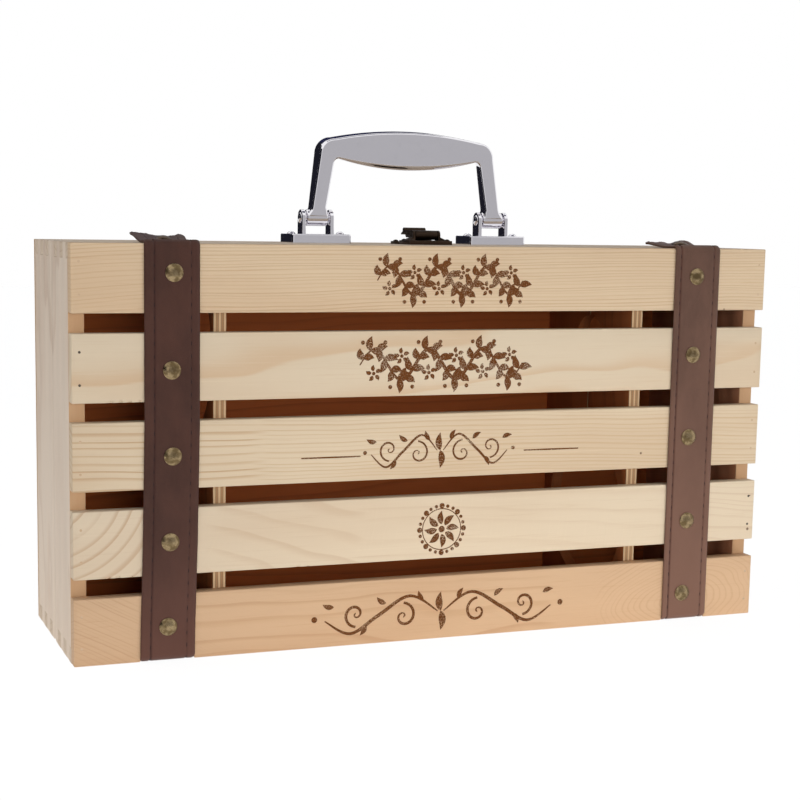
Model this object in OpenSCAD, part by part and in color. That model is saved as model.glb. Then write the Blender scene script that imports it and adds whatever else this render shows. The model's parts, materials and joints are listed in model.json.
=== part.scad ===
// Wooden box for two wine bottles lying head to tail. It is sawn apart at mid-depth like a
// suitcase: the front half is the slatted lid, the back half is the case. Two hinges join
// them underneath, a duck-bill latch holds them on top, beside a folding metal handle.
// +X runs along the box, the slats face -Y, +Z is up, and the origin is at the middle of the
// underside. All sizes are in millimetres.

/* [Box] */
// Width of the box from end to end
box_w = 350; // [330:1:420]
// Height of the box without the handle
box_h = 187.5; // [184:0.5:220]
// Depth of the box from the slats' face to the back
box_d = 100; // [94:1:140]
// Thickness of the top, bottom and end boards
board_t = 7; // [6:0.5:8]
// Thickness of the plywood back panel
back_t = 3; // [2:0.5:5]
// Width of one finger of the corner joints
finger_w = 7.6; // [6:0.1:10]
// Gap that the saw leaves between the lid and the case
saw_gap = 0.3; // [0.2:0.05:0.6]

/* [Slats] */
// Thickness of the five front slats
slat_t = 7; // [6:0.5:9]
// Height of the open gap between two slats
slat_gap = 8.75; // [5:0.25:12]
// Diameter of the brads' shanks
brad_d = 0.9; // [0.7:0.1:1]
// Diameter of the brads' heads
brad_head_d = 1.2; // [1.2:0.1:2.4]
// Thickness of the brads' heads
brad_head_t = 0.6; // [0.4:0.1:1]
// How deep the brads go into the frame
brad_in_wood = 12; // [8:1:18]
// Distance from a slat's edge to the brad beside it
brad_in = 8; // [5:0.5:11]
// Distance from an outer corner of the back panel to the first brad
back_brad_in = 25; // [20:1:40]

/* [Dividers] */
// Thickness of the plywood dividers
divider_t = 6; // [4:0.5:9]
// Distance of each divider's middle from the end of the box
divider_in = 68.2; // [62:0.1:85]
// Diameter of the hole for a bottle's neck
neck_d = 30; // [26:1:40]
// Diameter of the hole for a bottle's body
bottle_d = 78; // [70:1:80]

/* [Straps] */
// Width of the two leather straps
strap_w = 24.5; // [20:0.5:30]
// Thickness of the leather
strap_t = 1.4; // [1:0.1:2]
// Distance of the left strap's middle from the left end of the box
strap_in_left = 42.3; // [38:0.1:48]
// Distance of the right strap's middle from the right end of the box
strap_in_right = 39.8; // [38:0.1:48]
// Length of the strap that lies over the top
strap_flap = 30; // [20:1:38]
// Length of the strap that is let in under the bottom
strap_wrap = 18; // [14:1:26]
// Air around the strap in its groove under the bottom
strap_air = 0.2; // [0.1:0.05:0.4]
// Diameter of the tacks' domed heads
tack_d = 9; // [7:0.1:10]
// Height of the tacks' domes
tack_h = 2; // [1.5:0.1:3]
// Diameter of the tacks' shanks
tack_shank_d = 1.4; // [1:0.1:2]
// How deep the tacks go into the slats
tack_in_wood = 4.5; // [3:0.5:4.5]
// Distance of the top tack behind the slats' face
tack_back = 17; // [12:0.5:24]

/* [Handle] */
// Sideways place of the handle's middle
handle_x = 3.9; // [-10:0.1:10]
// Height of the handle's pins above the box
pin_up = 12.3; // [11.5:0.1:14]
// Distance between the middles of the two brackets
pin_span = 94.2; // [84:0.1:120]
// Height of the grip's crown above the box
grip_up = 54.8; // [48:0.1:70]
// Height of the grip at its middle
grip_h = 18.6; // [14:0.1:22]
// Height of the grip at its ends
grip_end_h = 9.8; // [8:0.1:13]
// How far the grip's crown stands over its ends
crown = 3.9; // [1:0.1:6]
// How much each arm leans inwards from its pin to its shoulder
arm_lean = 4.4; // [0:0.1:6]
// Width of an arm, seen from the front
arm_w = 7.4; // [6:0.1:10]
// Thickness of the handle, from front to back
handle_t = 8; // [6:0.1:9]
// Radius of the shoulder between an arm and the grip
shoulder_r = 8; // [5:0.5:10]
// Radius of the inner corner between an arm and the grip
armpit_r = 2.5; // [1:0.25:4]
// Width of a lug, along its pin
lug_w = 11; // [10:0.1:12]
// Diameter of a lug around its pin
lug_d = 8; // [7:0.1:9]
// Height of the flare between an arm and its lug
lug_flare = 4.5; // [3:0.5:7]
// Diameter of the handle's pins
pin_d = 4; // [3:0.1:4.4]
// Radial play of the handle on its pins
pin_play = 0.05; // [0.03:0.01:0.09]
// Diameter of a pin's head
pin_head_d = 5.8; // [5:0.1:6.4]
// Thickness of a pin's head
pin_head_t = 1; // [0.6:0.1:1.5]

/* [Handle brackets] */
// Width of a bracket's base, along the box
base_w = 30.5; // [28:0.5:34]
// Depth of a bracket's base
base_d = 20; // [12:0.5:22]
// Thickness of a bracket's base
base_t = 4.4; // [3:0.1:5]
// Distance between the saw cut and the bases
base_back = 2.5; // [1:0.5:10]
// Thickness of a bracket's ear
ear_t = 1.9; // [1.4:0.1:2.2]
// Width of an ear, from front to back
ear_w = 8; // [7:0.1:10]
// Play between a lug and each ear
lug_side_play = 0.8; // [0.3:0.05:1]
// Diameter of the bracket screws' shanks
bracket_screw_d = 2.4; // [2:0.1:3]
// Diameter of the bracket screws' domed heads
bracket_screw_head_d = 4.4; // [3.6:0.1:5]
// Height of the bracket screws' heads
bracket_screw_head_h = 1.3; // [1:0.1:2]
// How deep the bracket screws go into the wood
bracket_screw_in_wood = 5.5; // [3:0.5:5.5]
// Distance of the bracket screws from the ends of the base
bracket_screw_in = 2.6; // [2.6:0.1:3.4]

/* [Latch] */
// Sideways place of the latch
latch_x = 7; // [2:0.5:12]
// Width of the latch's plate and catch
latch_w = 22; // [20:0.5:26]
// Thickness of the latch's plate
plate_t = 2; // [1.4:0.1:2.4]
// Thickness of the catch's plate
catch_t = 1.4; // [1:0.1:2]
// Length of the plate on the lid
plate_l = 15.2; // [14.5:0.1:18]
// Length of the catch on the case
catch_l = 11.4; // [10:0.1:14]
// Air between the lever's barrel and the plate
lever_air = 0.3; // [0.2:0.05:0.8]
// Distance of the lever's pin in front of the saw cut
lever_back = 7; // [6:0.1:8]
// Width of the lever
lever_w = 11.6; // [11:0.1:15]
// Diameter of the lever around its pin
lever_barrel_d = 4.6; // [4.2:0.1:5]
// Diameter of the lever's pin
lever_pin_d = 1.8; // [1.4:0.1:2.2]
// Radial play of the lever on its pin
lever_pin_play = 0.05; // [0.03:0.01:0.09]
// Play between the lever and each of the plate's ears
lever_side_play = 0.3; // [0.2:0.05:0.5]
// Thickness of the plate's ears
lever_ear_t = 1.1; // [0.8:0.1:1.6]
// Height of the ramps that rise from the plate to its ears
ear_ramp_h = 1.6; // [0.6:0.1:2.2]
// Reach of the bill behind the saw cut
bill_reach = 11; // [9:0.1:13]
// Thickness of the bill
bill_t = 1.5; // [1:0.1:2]
// Length of the bill's sloping end
bill_slope = 3.4; // [2:0.1:4]
// How far the bill's end drops
bill_drop = 1.5; // [0.5:0.1:2]
// Diameter of the roll across the bill
bill_roll_d = 2.6; // [2:0.1:3]
// Diameter of the catch's rolled lip
lip_d = 2.4; // [2:0.1:3]
// Distance of the lip behind the saw cut
lip_back = 2.6; // [2:0.1:3.4]
// Height of the lip's middle above the catch's plate
lip_rise = 0.4; // [0.2:0.05:0.6]
// Air between the lever's nose and the lip
nose_air = 0.35; // [0.2:0.05:0.6]
// Width of the lever's nose over the lip
nose_w = 3.2; // [2:0.1:3.6]
// Air between the lever's belly and the plate
belly_air = 0.9; // [0.5:0.1:1.2]
// Diameter of the latch screws' shanks
latch_screw_d = 1.6; // [1.2:0.1:2]
// Diameter of the latch screws' heads
latch_screw_head_d = 3; // [2.4:0.1:3.4]
// Thickness of the latch screws' heads
latch_screw_head_h = 0.8; // [0.5:0.1:1]
// How deep the latch screws go into the wood
latch_screw_in_wood = 5; // [3:0.5:5.5]
// Distance of the latch screws' heads from the sides of the plate
latch_screw_in = 0.2; // [0.1:0.1:0.4]
// Distance of the latch screws' heads from the ends of the plate
latch_screw_end = 1.1; // [0.6:0.1:1.4]

/* [Hinges] */
// Distance of each hinge's middle from the end of the box
hinge_in = 87; // [74:1:115]
// Length of a hinge
hinge_l = 30; // [26:1:40]
// Width of one leaf, from the pin
leaf_w = 13; // [11:0.5:16]
// Thickness of a leaf
leaf_t = 1; // [0.8:0.1:1.2]
// Diameter of the hinge's barrel
barrel_d = 3.2; // [3:0.1:3.6]
// Diameter of the hinge's pin
hinge_pin_d = 1.7; // [1.4:0.1:1.9]
// Radial play of the lid's knuckles on the pin
hinge_pin_play = 0.05; // [0.03:0.01:0.09]
// Gap between two knuckles
knuckle_gap = 0.2; // [0.1:0.05:0.4]
// How far the hinge lies above the underside
hinge_up = 0.1; // [0.05:0.05:0.3]
// Air around the barrel in the wood
barrel_air = 0.4; // [0.3:0.05:0.8]
// Width of the bevel under the saw cut that lets the lid swing
bevel_w = 2.4; // [2.3:0.1:4]
// Diameter of the hinge screws' shanks
hinge_screw_d = 1.6; // [1.2:0.1:2]
// Diameter of the hinge screws' sunk heads
hinge_screw_head_d = 3; // [2.4:0.1:3.4]
// Length of the hinge screws, head included
hinge_screw_l = 5.5; // [3.5:0.5:5.5]
// Thickness of the rim of the hinge screws' heads
hinge_screw_rim = 0.2; // [0.1:0.05:0.4]
// Length of the hinge screws' points
hinge_screw_point = 1; // [0.5:0.1:1.5]
// Distance of the hinge screws from the pin
hinge_screw_out = 8; // [7:0.1:9]
// Distance of the hinge screws from the ends of the leaf
hinge_screw_end = 5; // [3:0.5:7]
// Gap between a leaf and the other leaf's knuckles
leaf_air = 0.7; // [0.6:0.05:1]

/* [Hidden] */
$fn = 48;

// Overshoot of a cutting tool beyond the face that it opens.
cut = 1;
slat_count = 5;
knuckle_count = 5;
brads_along = 4;
brads_up = 3;
arc_steps = 8;
// Where the arc of the handle's shoulder runs into the arch of the grip.
shoulder_sweep = 80;
slat_h = (box_h - (slat_count - 1) * slat_gap) / slat_count;
front_y = -box_d / 2;
back_y = box_d / 2;
frame_front_y = front_y + slat_t;
frame_back_y = back_y - back_t;
lid_edge_y = -saw_gap / 2;
case_edge_y = saw_gap / 2;
half_w = box_w / 2;
end_x = half_w - board_t;
inner_h = box_h - 2 * board_t;
bay_h = inner_h / 2;
low_bay_z = board_t + bay_h / 2;
high_bay_z = low_bay_z + bay_h;
brad_x = half_w - board_t / 2;
divider_x = half_w - divider_in;
strap_x = [-half_w + strap_in_left, half_w - strap_in_right];
hinge_x = half_w - hinge_in;
axis_z = hinge_up + barrel_d / 2;
knuckle_l = hinge_l / knuckle_count;
leaf_back = barrel_d / 2 + leaf_air;
ear_out = lug_w / 2 + lug_side_play;
bracket_screw_x = base_w / 2 - bracket_screw_in;
handle_y = case_edge_y + base_back + base_d / 2;
end_up = grip_up - crown;
lever_ear_in = lever_w / 2 + lever_side_play;
lever_ear_out = lever_ear_in + lever_ear_t;
lever_up = plate_t + lever_air + lever_barrel_d / 2;
lever_pin_z = box_h + lever_up;
lever_top = lever_up + lever_barrel_d / 2;
lip_top = catch_t + lip_d / 2 + lip_rise;
nose_z = lip_top + nose_air;
bill_y = bill_reach - bill_slope;
latch_screw_x = latch_w / 2 - latch_screw_head_d / 2 - latch_screw_in;
latch_screw_back = latch_screw_head_d / 2 + latch_screw_end;
plate_screw_y = [-plate_l + latch_screw_back, -latch_screw_back];
catch_screw_y = catch_l - latch_screw_back;

pine = [0.84, 0.72, 0.55];
pine_end = [0.78, 0.70, 0.60];
ply = [0.62, 0.42, 0.27];
hide = [0.36, 0.25, 0.20];
chrome = [0.70, 0.70, 0.72];
bronze = [0.27, 0.21, 0.16];
brass = [0.60, 0.53, 0.33];
steel = [0.50, 0.48, 0.45];

// ---------------------------------------------------------------- helpers

module box_between(a, b) {
    translate(a) cube(b - a);
}

module both_sides(x) {
    for (side = [-1, 1]) translate([side * x, 0, 0]) children();
}

// The fingers of the corner joints. They are counted from the saw cut, and every second
// stretch belongs to the top and bottom boards.
module finger_stretches(y0, y1, odd) {
    count = ceil(max(abs(y0), abs(y1)) / finger_w);
    for (k = [-count : count]) {
        from = max(y0, k * finger_w);
        to = min(y1, (k + 1) * finger_w);
        of_boards = abs(k < 0 ? k + 1 : k) % 2 == 1;
        if (to > from && of_boards == odd) translate([0, from, 0])
            cube([board_t, to - from, board_t]);
    }
}

// The wood that is bevelled away under the saw cut, so that the lid can swing.
module bevel_cut(side) {
    rotate([90, 0, 90])
        linear_extrude(box_w + 2 * cut, center = true)
            polygon([
                [-side * cut, axis_z], [side * saw_gap / 2, axis_z],
                [side * (bevel_w + saw_gap / 2), 0], [side * (bevel_w + saw_gap / 2), -cut],
                [-side * cut, -cut]]);
}

// The grooves for the hinge's leaf and barrel in the bottom board on one side of the cut.
module hinge_cut(side) {
    both_sides(hinge_x) {
        box_between(
            [-hinge_l / 2 - hinge_up, side > 0 ? 0 : -leaf_w - hinge_up, -cut],
            [hinge_l / 2 + hinge_up, side > 0 ? leaf_w + hinge_up : 0, hinge_up + leaf_t]);
        translate([0, 0, axis_z]) rotate([0, 90, 0])
            cylinder(d = barrel_d + 2 * barrel_air, h = hinge_l + 2 * barrel_air, center = true);
        hinge_screw_places(side) hinge_screw();
    }
}

// The grooves under the lid that the ends of the straps are let into.
module strap_cut() {
    for (x = strap_x) translate([x, 0, 0])
        box_between(
            [-strap_w / 2 - strap_air, front_y - cut, -cut],
            [strap_w / 2 + strap_air, front_y + strap_wrap + strap_air, strap_t + strap_air]);
}

// A top or bottom board with its fingers, from y0 to y1, at height z0.
module long_board(y0, y1, z0) {
    box_between([-end_x, y0, z0], [end_x, y1, z0 + board_t]);
    for (x0 = [-half_w, end_x])
        translate([x0, 0, z0]) finger_stretches(y0, y1, true);
}

// An end board with the gaps that the other boards' fingers fill, standing at x0.
module end_board(y0, y1, x0) {
    box_between([x0, y0, board_t], [x0 + board_t, y1, box_h - board_t]);
    for (z0 = [0, box_h - board_t])
        translate([x0, 0, z0]) finger_stretches(y0, y1, false);
}

// One half of a divider, with half of a neck hole and half of a bottle hole at the cut.
module half_divider(x, y0, y1, neck_z, bottle_z) {
    difference() {
        box_between([x - divider_t / 2, y0, board_t], [x + divider_t / 2, y1, box_h - board_t]);
        for (hole = [[neck_z, neck_d], [bottle_z, bottle_d]])
            translate([x, 0, hole[0]]) rotate([0, 90, 0])
                cylinder(d = hole[1], h = divider_t + 2 * cut, center = true);
    }
}

// A shank under a spherical head. It points down from z = 0, and the head stands above.
module dome_nail(head_d, head_h, shank_d, shank_l) {
    ball_r = (head_d * head_d / 4 + head_h * head_h) / (2 * head_h);
    translate([0, 0, -shank_l]) cylinder(d = shank_d, h = shank_l);
    intersection() {
        translate([0, 0, head_h - ball_r]) sphere(r = ball_r, $fn = 64);
        cylinder(d = head_d, h = head_h + cut);
    }
}

// ---------------------------------------------------------------- fasteners' places

module slat_brads_of(i) {
    z0 = slat_z(i);
    for (side = [-1, 1], z = [z0 + brad_in, z0 + slat_h - brad_in])
        translate([side * brad_x, front_y, z]) rotate([90, 0, 0]) brad(slat_t);
}

module all_slat_brads() {
    for (i = [0 : slat_count - 1]) slat_brads_of(i);
}

// A brad that is driven flush through a piece of this thickness.
module brad(through) {
    length = through + brad_in_wood;
    translate([0, 0, -length]) cylinder(d = brad_d, h = length);
    translate([0, 0, -brad_head_t]) cylinder(d = brad_head_d, h = brad_head_t);
}

module all_back_brads() {
    along = (box_w - 2 * back_brad_in) / (brads_along - 1);
    up = (box_h - 2 * back_brad_in) / (brads_up - 1);
    in_long_boards = [
        for (i = [0 : brads_along - 1], z = [board_t / 2, box_h - board_t / 2])
            [-half_w + back_brad_in + i * along, z]];
    in_ends = [
        for (x = [-brad_x, brad_x], i = [0 : brads_up - 1]) [x, back_brad_in + i * up]];
    for (place = concat(in_long_boards, in_ends))
        translate([place[0], back_y, place[1]]) rotate([-90, 0, 0]) brad(back_t);
}

module all_tacks(x) {
    for (i = [0 : slat_count - 1])
        translate([x, front_y - strap_t, slat_z(i) + slat_h / 2]) rotate([90, 0, 0]) tack();
    translate([x, front_y + tack_back, box_h + strap_t]) tack();
}

module tack() {
    dome_nail(tack_d, tack_h, tack_shank_d, strap_t + tack_in_wood);
}

module bracket_places() {
    for (side = [-1, 1])
        translate([handle_x + side * pin_span / 2, handle_y, box_h]) children();
}

module all_bracket_screws() {
    bracket_places() for (side = [-1, 1]) translate([side * bracket_screw_x, 0, base_t])
        dome_nail(
            bracket_screw_head_d, bracket_screw_head_h, bracket_screw_d,
            base_t + bracket_screw_in_wood);
}

// The latch screws at these depths, through a plate of thickness t.
module latch_screws(ys, t) {
    for (side = [-1, 1], y = ys) translate([latch_x + side * latch_screw_x, y, box_h + t])
        dome_nail(
            latch_screw_head_d, latch_screw_head_h, latch_screw_d, t + latch_screw_in_wood);
}

module plate_screws() {
    latch_screws(plate_screw_y, plate_t);
}

module catch_screws() {
    latch_screws([catch_screw_y], catch_t);
}

module hinge_screw_places(side) {
    for (end = [-1, 1])
        translate([end * (hinge_l / 2 - hinge_screw_end), side * hinge_screw_out, hinge_up])
            children();
}

// A countersunk screw that is driven upwards, its flat head at z = 0.
module hinge_screw() {
    rotate_extrude()
        polygon([
            [0, 0], [hinge_screw_head_d / 2, 0], [hinge_screw_head_d / 2, hinge_screw_rim],
            [hinge_screw_d / 2, leaf_t], [hinge_screw_d / 2, hinge_screw_l - hinge_screw_point],
            [0, hinge_screw_l]]);
}

// ---------------------------------------------------------------- the case

module case_top() color(pine) difference() {
    long_board(case_edge_y, frame_back_y, box_h - board_t);
    all_bracket_screws();
    catch_screws();
    all_back_brads();
}

module case_bottom() color(pine) difference() {
    long_board(case_edge_y, frame_back_y, 0);
    bevel_cut(1);
    hinge_cut(1);
    all_back_brads();
}

module case_end(x0) color(pine_end) difference() {
    end_board(case_edge_y, frame_back_y, x0);
    bevel_cut(1);
    all_back_brads();
}

module back_panel() color(pine) difference() {
    box_between([-half_w, frame_back_y, 0], [half_w, back_y, box_h]);
    all_back_brads();
}

module back_brads() color(steel) all_back_brads();

module case_divider_left() color(ply)
    half_divider(-divider_x, case_edge_y, frame_back_y, low_bay_z, high_bay_z);

module case_divider_right() color(ply)
    half_divider(divider_x, case_edge_y, frame_back_y, high_bay_z, low_bay_z);

// ---------------------------------------------------------------- the lid

module lid_top() color(pine) difference() {
    long_board(frame_front_y, lid_edge_y, box_h - board_t);
    all_slat_brads();
    plate_screws();
    for (x = strap_x) all_tacks(x);
}

module lid_bottom() color(pine) difference() {
    long_board(frame_front_y, lid_edge_y, 0);
    all_slat_brads();
    bevel_cut(-1);
    hinge_cut(-1);
    strap_cut();
}

module lid_end(x0) color(pine_end) difference() {
    end_board(frame_front_y, lid_edge_y, x0);
    bevel_cut(-1);
    all_slat_brads();
}

module lid_divider_left() color(ply)
    half_divider(-divider_x, frame_front_y, lid_edge_y, low_bay_z, high_bay_z);

module lid_divider_right() color(ply)
    half_divider(divider_x, frame_front_y, lid_edge_y, high_bay_z, low_bay_z);

// Underside of slat number i, counted from the top.
function slat_z(i) = box_h - slat_h - i * (slat_h + slat_gap);

module slat(i) color(pine) difference() {
    box_between([-half_w, front_y, slat_z(i)], [half_w, frame_front_y, slat_z(i) + slat_h]);
    slat_brads_of(i);
    for (x = strap_x) all_tacks(x);
    if (i == slat_count - 1) strap_cut();
}

module slat_brads() color(steel)
    all_slat_brads();

// A strap: over the top, down the slats and under the bottom, where it is let in.
module strap(x) color(hide) difference() {
    translate([x, 0, 0]) {
        box_between(
            [-strap_w / 2, front_y - strap_t, strap_air],
            [strap_w / 2, front_y, box_h + strap_t]);
        box_between(
            [-strap_w / 2, front_y, box_h],
            [strap_w / 2, front_y + strap_flap, box_h + strap_t]);
        box_between(
            [-strap_w / 2, front_y, strap_air],
            [strap_w / 2, front_y + strap_wrap, strap_t + strap_air]);
    }
    all_tacks(x);
}

module strap_tacks(x) color(brass) all_tacks(x);

// ---------------------------------------------------------------- the handle

// Points along a circle of radius r about c, from one angle to another.
function arc(c, r, from, to) =
    [for (i = [0 : arc_steps]) let (a = from + (to - from) * i / arc_steps)
        c + r * [cos(a), sin(a)]];

// Points along a low arch from -x to x, at height z in the middle and z - drop at its ends.
function arch(x, z, drop) =
    [for (i = [-arc_steps : arc_steps]) [x * i / arc_steps, z - drop * pow(i / arc_steps, 2)]];

function mirrored(points) =
    [for (i = [len(points) - 1 : -1 : 0]) [-points[i][0], points[i][1]]];

// The handle's outline from the pins up. Outer and inner are its right half.
module handle_outline() {
    foot = pin_span / 2;
    top_x = foot - arm_lean;
    outer_x = top_x + arm_w / 2;
    inner_x = top_x - arm_w / 2;
    low_up = end_up - grip_end_h;
    mid_low_up = grip_up - grip_h;
    outer = concat(
        [[foot + arm_w / 2, pin_up]],
        arc([outer_x - shoulder_r, end_up - shoulder_r], shoulder_r,
            0, shoulder_sweep));
    inner = concat(
        arc([inner_x - armpit_r, low_up - armpit_r], armpit_r, 90, 0),
        [[foot - arm_w / 2, pin_up]]);
    polygon(concat(
        outer, arch(shoulder_r - outer_x, grip_up, crown), mirrored(outer),
        mirrored(inner), arch(inner_x - armpit_r, mid_low_up, mid_low_up - low_up), inner));
}

// The lug on the right foot, with the flare that leads into the arm.
module lug() {
    rotate([0, 90, 0]) cylinder(d = lug_d, h = lug_w, center = true);
    lean = arm_lean * lug_flare / (end_up - shoulder_r - pin_up);
    rotate([90, 0, 0]) linear_extrude(handle_t, center = true)
        polygon([
            [-lug_w / 2, 0], [lug_w / 2, 0],
            [arm_w / 2 - lean, lug_flare], [-arm_w / 2 - lean, lug_flare]]);
}

module handle() color(chrome) translate([handle_x, handle_y, box_h]) difference() {
    union() {
        rotate([90, 0, 0]) linear_extrude(handle_t, center = true) handle_outline();
        for (side = [0, 1]) mirror([side, 0, 0]) translate([pin_span / 2, 0, pin_up]) lug();
    }
    translate([0, 0, pin_up]) rotate([0, 90, 0])
        cylinder(d = pin_d + 2 * pin_play, h = box_w, center = true);
}

module handle_bracket(side) color(chrome) difference() {
    translate([handle_x + side * pin_span / 2, handle_y, box_h]) {
        box_between([-base_w / 2, -base_d / 2, 0], [base_w / 2, base_d / 2, base_t]);
        for (x0 = [-ear_out - ear_t, ear_out]) translate([x0, 0, 0]) rotate([90, 0, 90])
            linear_extrude(ear_t) union() {
                translate([0, pin_up]) circle(d = ear_w);
                translate([-ear_w / 2, base_t]) square([ear_w, pin_up - base_t]);
            }
    }
    handle_pins_solid();
    all_bracket_screws();
}

module handle_pins_solid() {
    bracket_places() translate([0, 0, pin_up]) rotate([0, 90, 0]) {
        cylinder(d = pin_d, h = 2 * (ear_out + ear_t), center = true);
        for (z0 = [-ear_out - ear_t - pin_head_t, ear_out + ear_t])
            translate([0, 0, z0]) cylinder(d = pin_head_d, h = pin_head_t);
    }
}

module handle_pins() color(chrome) handle_pins_solid();

module handle_bracket_screws() color(chrome) all_bracket_screws();

// ---------------------------------------------------------------- the latch

module latch_plate() color(bronze) difference() {
    translate([latch_x, 0, box_h]) {
        box_between([-latch_w / 2, -plate_l, 0], [latch_w / 2, lid_edge_y, plate_t]);
        for (x0 = [-lever_ear_out, lever_ear_in]) translate([x0, -lever_back, 0]) {
            translate([0, 0, lever_up]) rotate([0, 90, 0])
                cylinder(d = lever_barrel_d, h = lever_ear_t);
            box_between(
                [0, -lever_barrel_d / 2, plate_t], [lever_ear_t, lever_barrel_d / 2, lever_up]);
        }
        for (side = [-1, 1]) translate([0, -lever_back, plate_t]) rotate([90, 0, 0])
            linear_extrude(lever_barrel_d, center = true) polygon([
                [side * (lever_ear_out - lever_ear_t / 2), -plate_t / 2],
                [side * latch_w / 2, -plate_t / 2], [side * latch_w / 2, 0],
                [side * lever_ear_out, ear_ramp_h],
                [side * (lever_ear_out - lever_ear_t / 2), ear_ramp_h]]);
    }
    latch_pin_solid();
    plate_screws();
}

module latch_pin_solid() {
    translate([latch_x, -lever_back, lever_pin_z]) rotate([0, 90, 0])
        cylinder(d = lever_pin_d, h = 2 * lever_ear_out, center = true);
}

module latch_pin() color(bronze) latch_pin_solid();

// The lever turns on the pin. Its nose reaches down over the lip, and its bill stands out.
module latch_lever() color(bronze) translate([latch_x, 0, box_h]) difference() {
    union() {
        translate([0, -lever_back, lever_up]) rotate([0, 90, 0])
            cylinder(d = lever_barrel_d, h = lever_w, center = true);
        rotate([90, 0, 90]) linear_extrude(lever_w, center = true) polygon([
            [-lever_back, lever_top], [bill_y, lever_top], [bill_reach, lever_top - bill_drop],
            [bill_reach, lever_top - bill_drop - bill_t / 2], [bill_y, lever_top - bill_t],
            [lip_back + nose_w, lever_top - bill_t], [lip_back + nose_w / 2, nose_z],
            [lip_back - nose_w / 2, nose_z], [lid_edge_y - nose_w / 2, plate_t + belly_air],
            [-lever_back, plate_t + belly_air]]);
        translate([0, bill_y, lever_top]) rotate([0, 90, 0])
            cylinder(d = bill_roll_d, h = lever_w, center = true);
    }
    translate([0, -lever_back, lever_up]) rotate([0, 90, 0])
        cylinder(d = lever_pin_d + 2 * lever_pin_play, h = lever_w + 2 * cut, center = true);
}

module latch_catch() color(bronze) difference() {
    translate([latch_x, 0, box_h]) {
        box_between([-latch_w / 2, case_edge_y, 0], [latch_w / 2, catch_l, catch_t]);
        translate([0, lip_back, catch_t + lip_rise]) rotate([0, 90, 0])
            cylinder(d = lip_d, h = lever_w, center = true);
    }
    catch_screws();
}

module latch_screws_lid() color(bronze) plate_screws();

module latch_screws_case() color(bronze) catch_screws();

// ---------------------------------------------------------------- the hinges

// The leaf on one side of the cut. The case holds the outer and middle knuckles.
module hinge_leaf(side) {
    last = knuckle_count - 1;
    bore = hinge_pin_d + (side > 0 ? 0 : 2 * hinge_pin_play);
    difference() {
        union() {
            box_between(
                [-hinge_l / 2, side > 0 ? leaf_back : -leaf_w, hinge_up],
                [hinge_l / 2, side > 0 ? leaf_w : -leaf_back, hinge_up + leaf_t]);
            for (k = [side > 0 ? 0 : 1 : 2 : last]) {
                x0 = -hinge_l / 2 + k * knuckle_l + (k == 0 ? 0 : knuckle_gap / 2);
                x1 = -hinge_l / 2 + (k + 1) * knuckle_l - (k == last ? 0 : knuckle_gap / 2);
                box_between(
                    [x0, side > 0 ? 0 : -leaf_back, hinge_up],
                    [x1, side > 0 ? leaf_back : 0, hinge_up + leaf_t]);
                translate([x0, 0, axis_z]) rotate([0, 90, 0]) cylinder(d = barrel_d, h = x1 - x0);
            }
        }
        translate([0, 0, axis_z]) rotate([0, 90, 0])
            cylinder(d = bore, h = hinge_l + 2 * cut, center = true);
        hinge_screw_places(side) hinge_screw();
    }
}

module hinge_leaves_lid() color(brass) both_sides(hinge_x) hinge_leaf(-1);

module hinge_leaves_case() color(brass) both_sides(hinge_x) hinge_leaf(1);

module hinge_pins() color(steel) both_sides(hinge_x)
    translate([0, 0, axis_z]) rotate([0, 90, 0])
        cylinder(d = hinge_pin_d, h = hinge_l, center = true);

module hinge_screws_lid() color(brass)
    both_sides(hinge_x) hinge_screw_places(-1) hinge_screw();

module hinge_screws_case() color(brass)
    both_sides(hinge_x) hinge_screw_places(1) hinge_screw();

// ---------------------------------------------------------------- the nodes

case_top();
case_bottom();
case_end(-half_w);  // case_end_left
case_end(end_x);  // case_end_right
back_panel();
back_brads();
case_divider_left();
case_divider_right();
lid_top();
lid_bottom();
lid_end(-half_w);  // lid_end_left
lid_end(end_x);  // lid_end_right
lid_divider_left();
lid_divider_right();
slat(0);  // slat_1
slat(1);  // slat_2
slat(2);  // slat_3
slat(3);  // slat_4
slat(4);  // slat_5
slat_brads();
strap(strap_x[0]);  // strap_left
strap(strap_x[1]);  // strap_right
strap_tacks(strap_x[0]);  // strap_tacks_left
strap_tacks(strap_x[1]);  // strap_tacks_right
handle();
handle_bracket(-1);  // handle_bracket_left
handle_bracket(1);  // handle_bracket_right
handle_pins();
handle_bracket_screws();
latch_plate();
latch_lever();
latch_pin();
latch_catch();
latch_screws_lid();
latch_screws_case();
hinge_leaves_lid();
hinge_leaves_case();
hinge_pins();
hinge_screws_lid();
hinge_screws_case();
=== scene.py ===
"""Looks of the slatted wooden wine box: woods, leather, brass and chrome, as an add-on."""

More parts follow.
